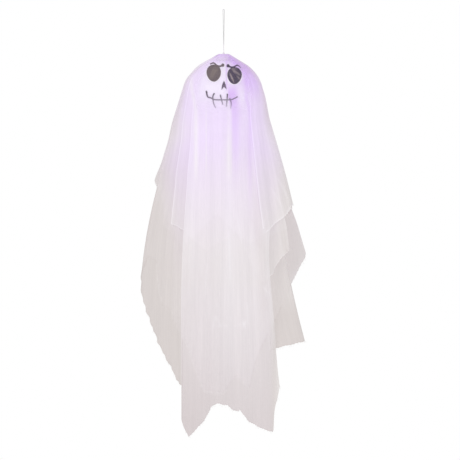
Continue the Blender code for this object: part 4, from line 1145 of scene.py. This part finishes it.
# Loose threads: where a thread's middle and end lie for its length, how far it may lean and
# turn, and how much its length varies
THREAD_BENDS = (("Middle", (0.25, 0.0, -0.55)), ("End", (0.10, 0.15, -1.0)))
THREAD_LEAN = 0.6
THREAD_TURN = 6.28
THREAD_LENGTHS = (0.3, 1.2)


def loose_threads():
    """A node tree that hangs threads of uneven length and lie along the edges of a mesh."""
    made = bpy.data.node_groups.new("loose_threads", "GeometryNodeTree")
    face = made.interface
    face.new_socket("Hem", in_out="INPUT", socket_type="NodeSocketGeometry")
    for name, kind, value in (
        ("Spacing", "NodeSocketFloat", 0.0035),
        ("Length", "NodeSocketFloat", 0.006),
        ("Radius", "NodeSocketFloat", 0.00012),
        ("Seed", "NodeSocketInt", 1),
        ("Finish", "NodeSocketMaterial", None),
    ):
        socket = face.new_socket(name, in_out="INPUT", socket_type=kind)
        if value is not None:
            socket.default_value = value
    face.new_socket("Threads", in_out="OUTPUT", socket_type="NodeSocketGeometry")
    given = made.nodes.new("NodeGroupInput")
    given = {socket.name: socket for socket in given.outputs}
    hem = add(made, "GeometryNodeMeshToCurve", (given["Hem"], "Mesh"))
    roots = add(made, "GeometryNodeCurveToPoints", (hem.outputs[0], "Curve"), mode="LENGTH")
    fill(roots, Length=given["Spacing"])
    bent = add(made, "GeometryNodeCurveQuadraticBezier", Resolution=4, Start=(0, 0, 0))
    for socket, place in THREAD_BENDS:
        put(bent.inputs[socket], scaled(made, place, given["Length"]))
    ring = add(made, "GeometryNodeCurvePrimitiveCircle", (given["Radius"], "Radius"), Resolution=3)
    thread = add(made, "GeometryNodeCurveToMesh", (bent.outputs[0], "Curve"), Fill_Caps=True)
    fill(thread, Profile_Curve=ring.outputs[0])
    lie = add(made, "FunctionNodeRandomValue", (given["Seed"], "Seed"), data_type="FLOAT_VECTOR")
    fill(lie, Min=(-THREAD_LEAN, -THREAD_LEAN, 0.0), Max=(THREAD_LEAN, THREAD_LEAN, THREAD_TURN))
    uneven = add(made, "FunctionNodeRandomValue", (given["Seed"], "Seed"), data_type="FLOAT")
    put(uneven.inputs[2], THREAD_LENGTHS[0])
    put(uneven.inputs[3], THREAD_LENGTHS[1])
    hung = add(
        made,
        "GeometryNodeInstanceOnPoints",
        (roots.outputs["Points"], "Points"),
        (thread.outputs[0], "Instance"),
        (lie.outputs["Value"], "Rotation"),
        (uneven.outputs[1], "Scale"),
    )
    whole = add(made, "GeometryNodeRealizeInstances", (hung.outputs[0], "Geometry"))
    dyed = add(made, "GeometryNodeSetMaterial", (whole.outputs[0], "Geometry"))
    fill(dyed, Material=given["Finish"])
    done = made.nodes.new("NodeGroupOutput")
    made.links.new(dyed.outputs[0], done.inputs[0])
    return made


def fray(name, grids, tree, seed):
    """The loose threads along a sheet's raw hems, as one mesh."""
    given = {"Seed": seed, "Finish": thread_finish}
    verts, edges = [], []
    for x, y, height, *_ in grids[1:]:
        start = len(verts)
        verts.extend(zip(x[-1], y[-1], height[-1]))
        edges.extend((spot, spot + 1) for spot in range(start, len(verts) - 1))
    hem = bpy.data.meshes.new(name + "_hem")
    hem.from_pydata(verts, edges, [])
    holder = placed(name + "_hem", hem)
    modifier = holder.modifiers.new("threads", "NODES")
    modifier.node_group = tree
    for item in tree.interface.items_tree:
        if item.name in given:
            modifier[item.identifier] = given[item.name]
    evaluated = holder.evaluated_get(bpy.context.evaluated_depsgraph_get())
    mesh = bpy.data.meshes.new_from_object(evaluated)
    bpy.data.objects.remove(holder)
    fringe = placed(name + "_threads", mesh)
    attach(fringe, "ghost")
    return fringe


thread_finish = surface("organza_thread", (0.76, 0.71, 0.70), rough=0.8, mottle=0.08, grain=3000)
thread_tree = loose_threads()
sheer = gauze()

# The pieces of cloth as cut, in metres
CUTS = {
    "side_drape": (0.34, 1.51),
    "inner_veil": (0.60, 0.98),
    "front_back_drape": (0.50, 1.73),
    "outer_veil": (0.70, 0.82),
}
grids = {name: sheet_grids(name) for name in CUTS}
chart = count_skins([grid for own in grids.values() for grid in own])
for seed, (name, cut) in enumerate(CUTS.items(), start=3):
    mesh = weave_sheet(name, grids[name], chart)
    mesh.materials.append(sheer)
    cloth = placed(name + "_cloth", mesh)
    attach(cloth, "ghost")
    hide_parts(name)
    fringe = fray(name, grids[name], thread_tree, seed)
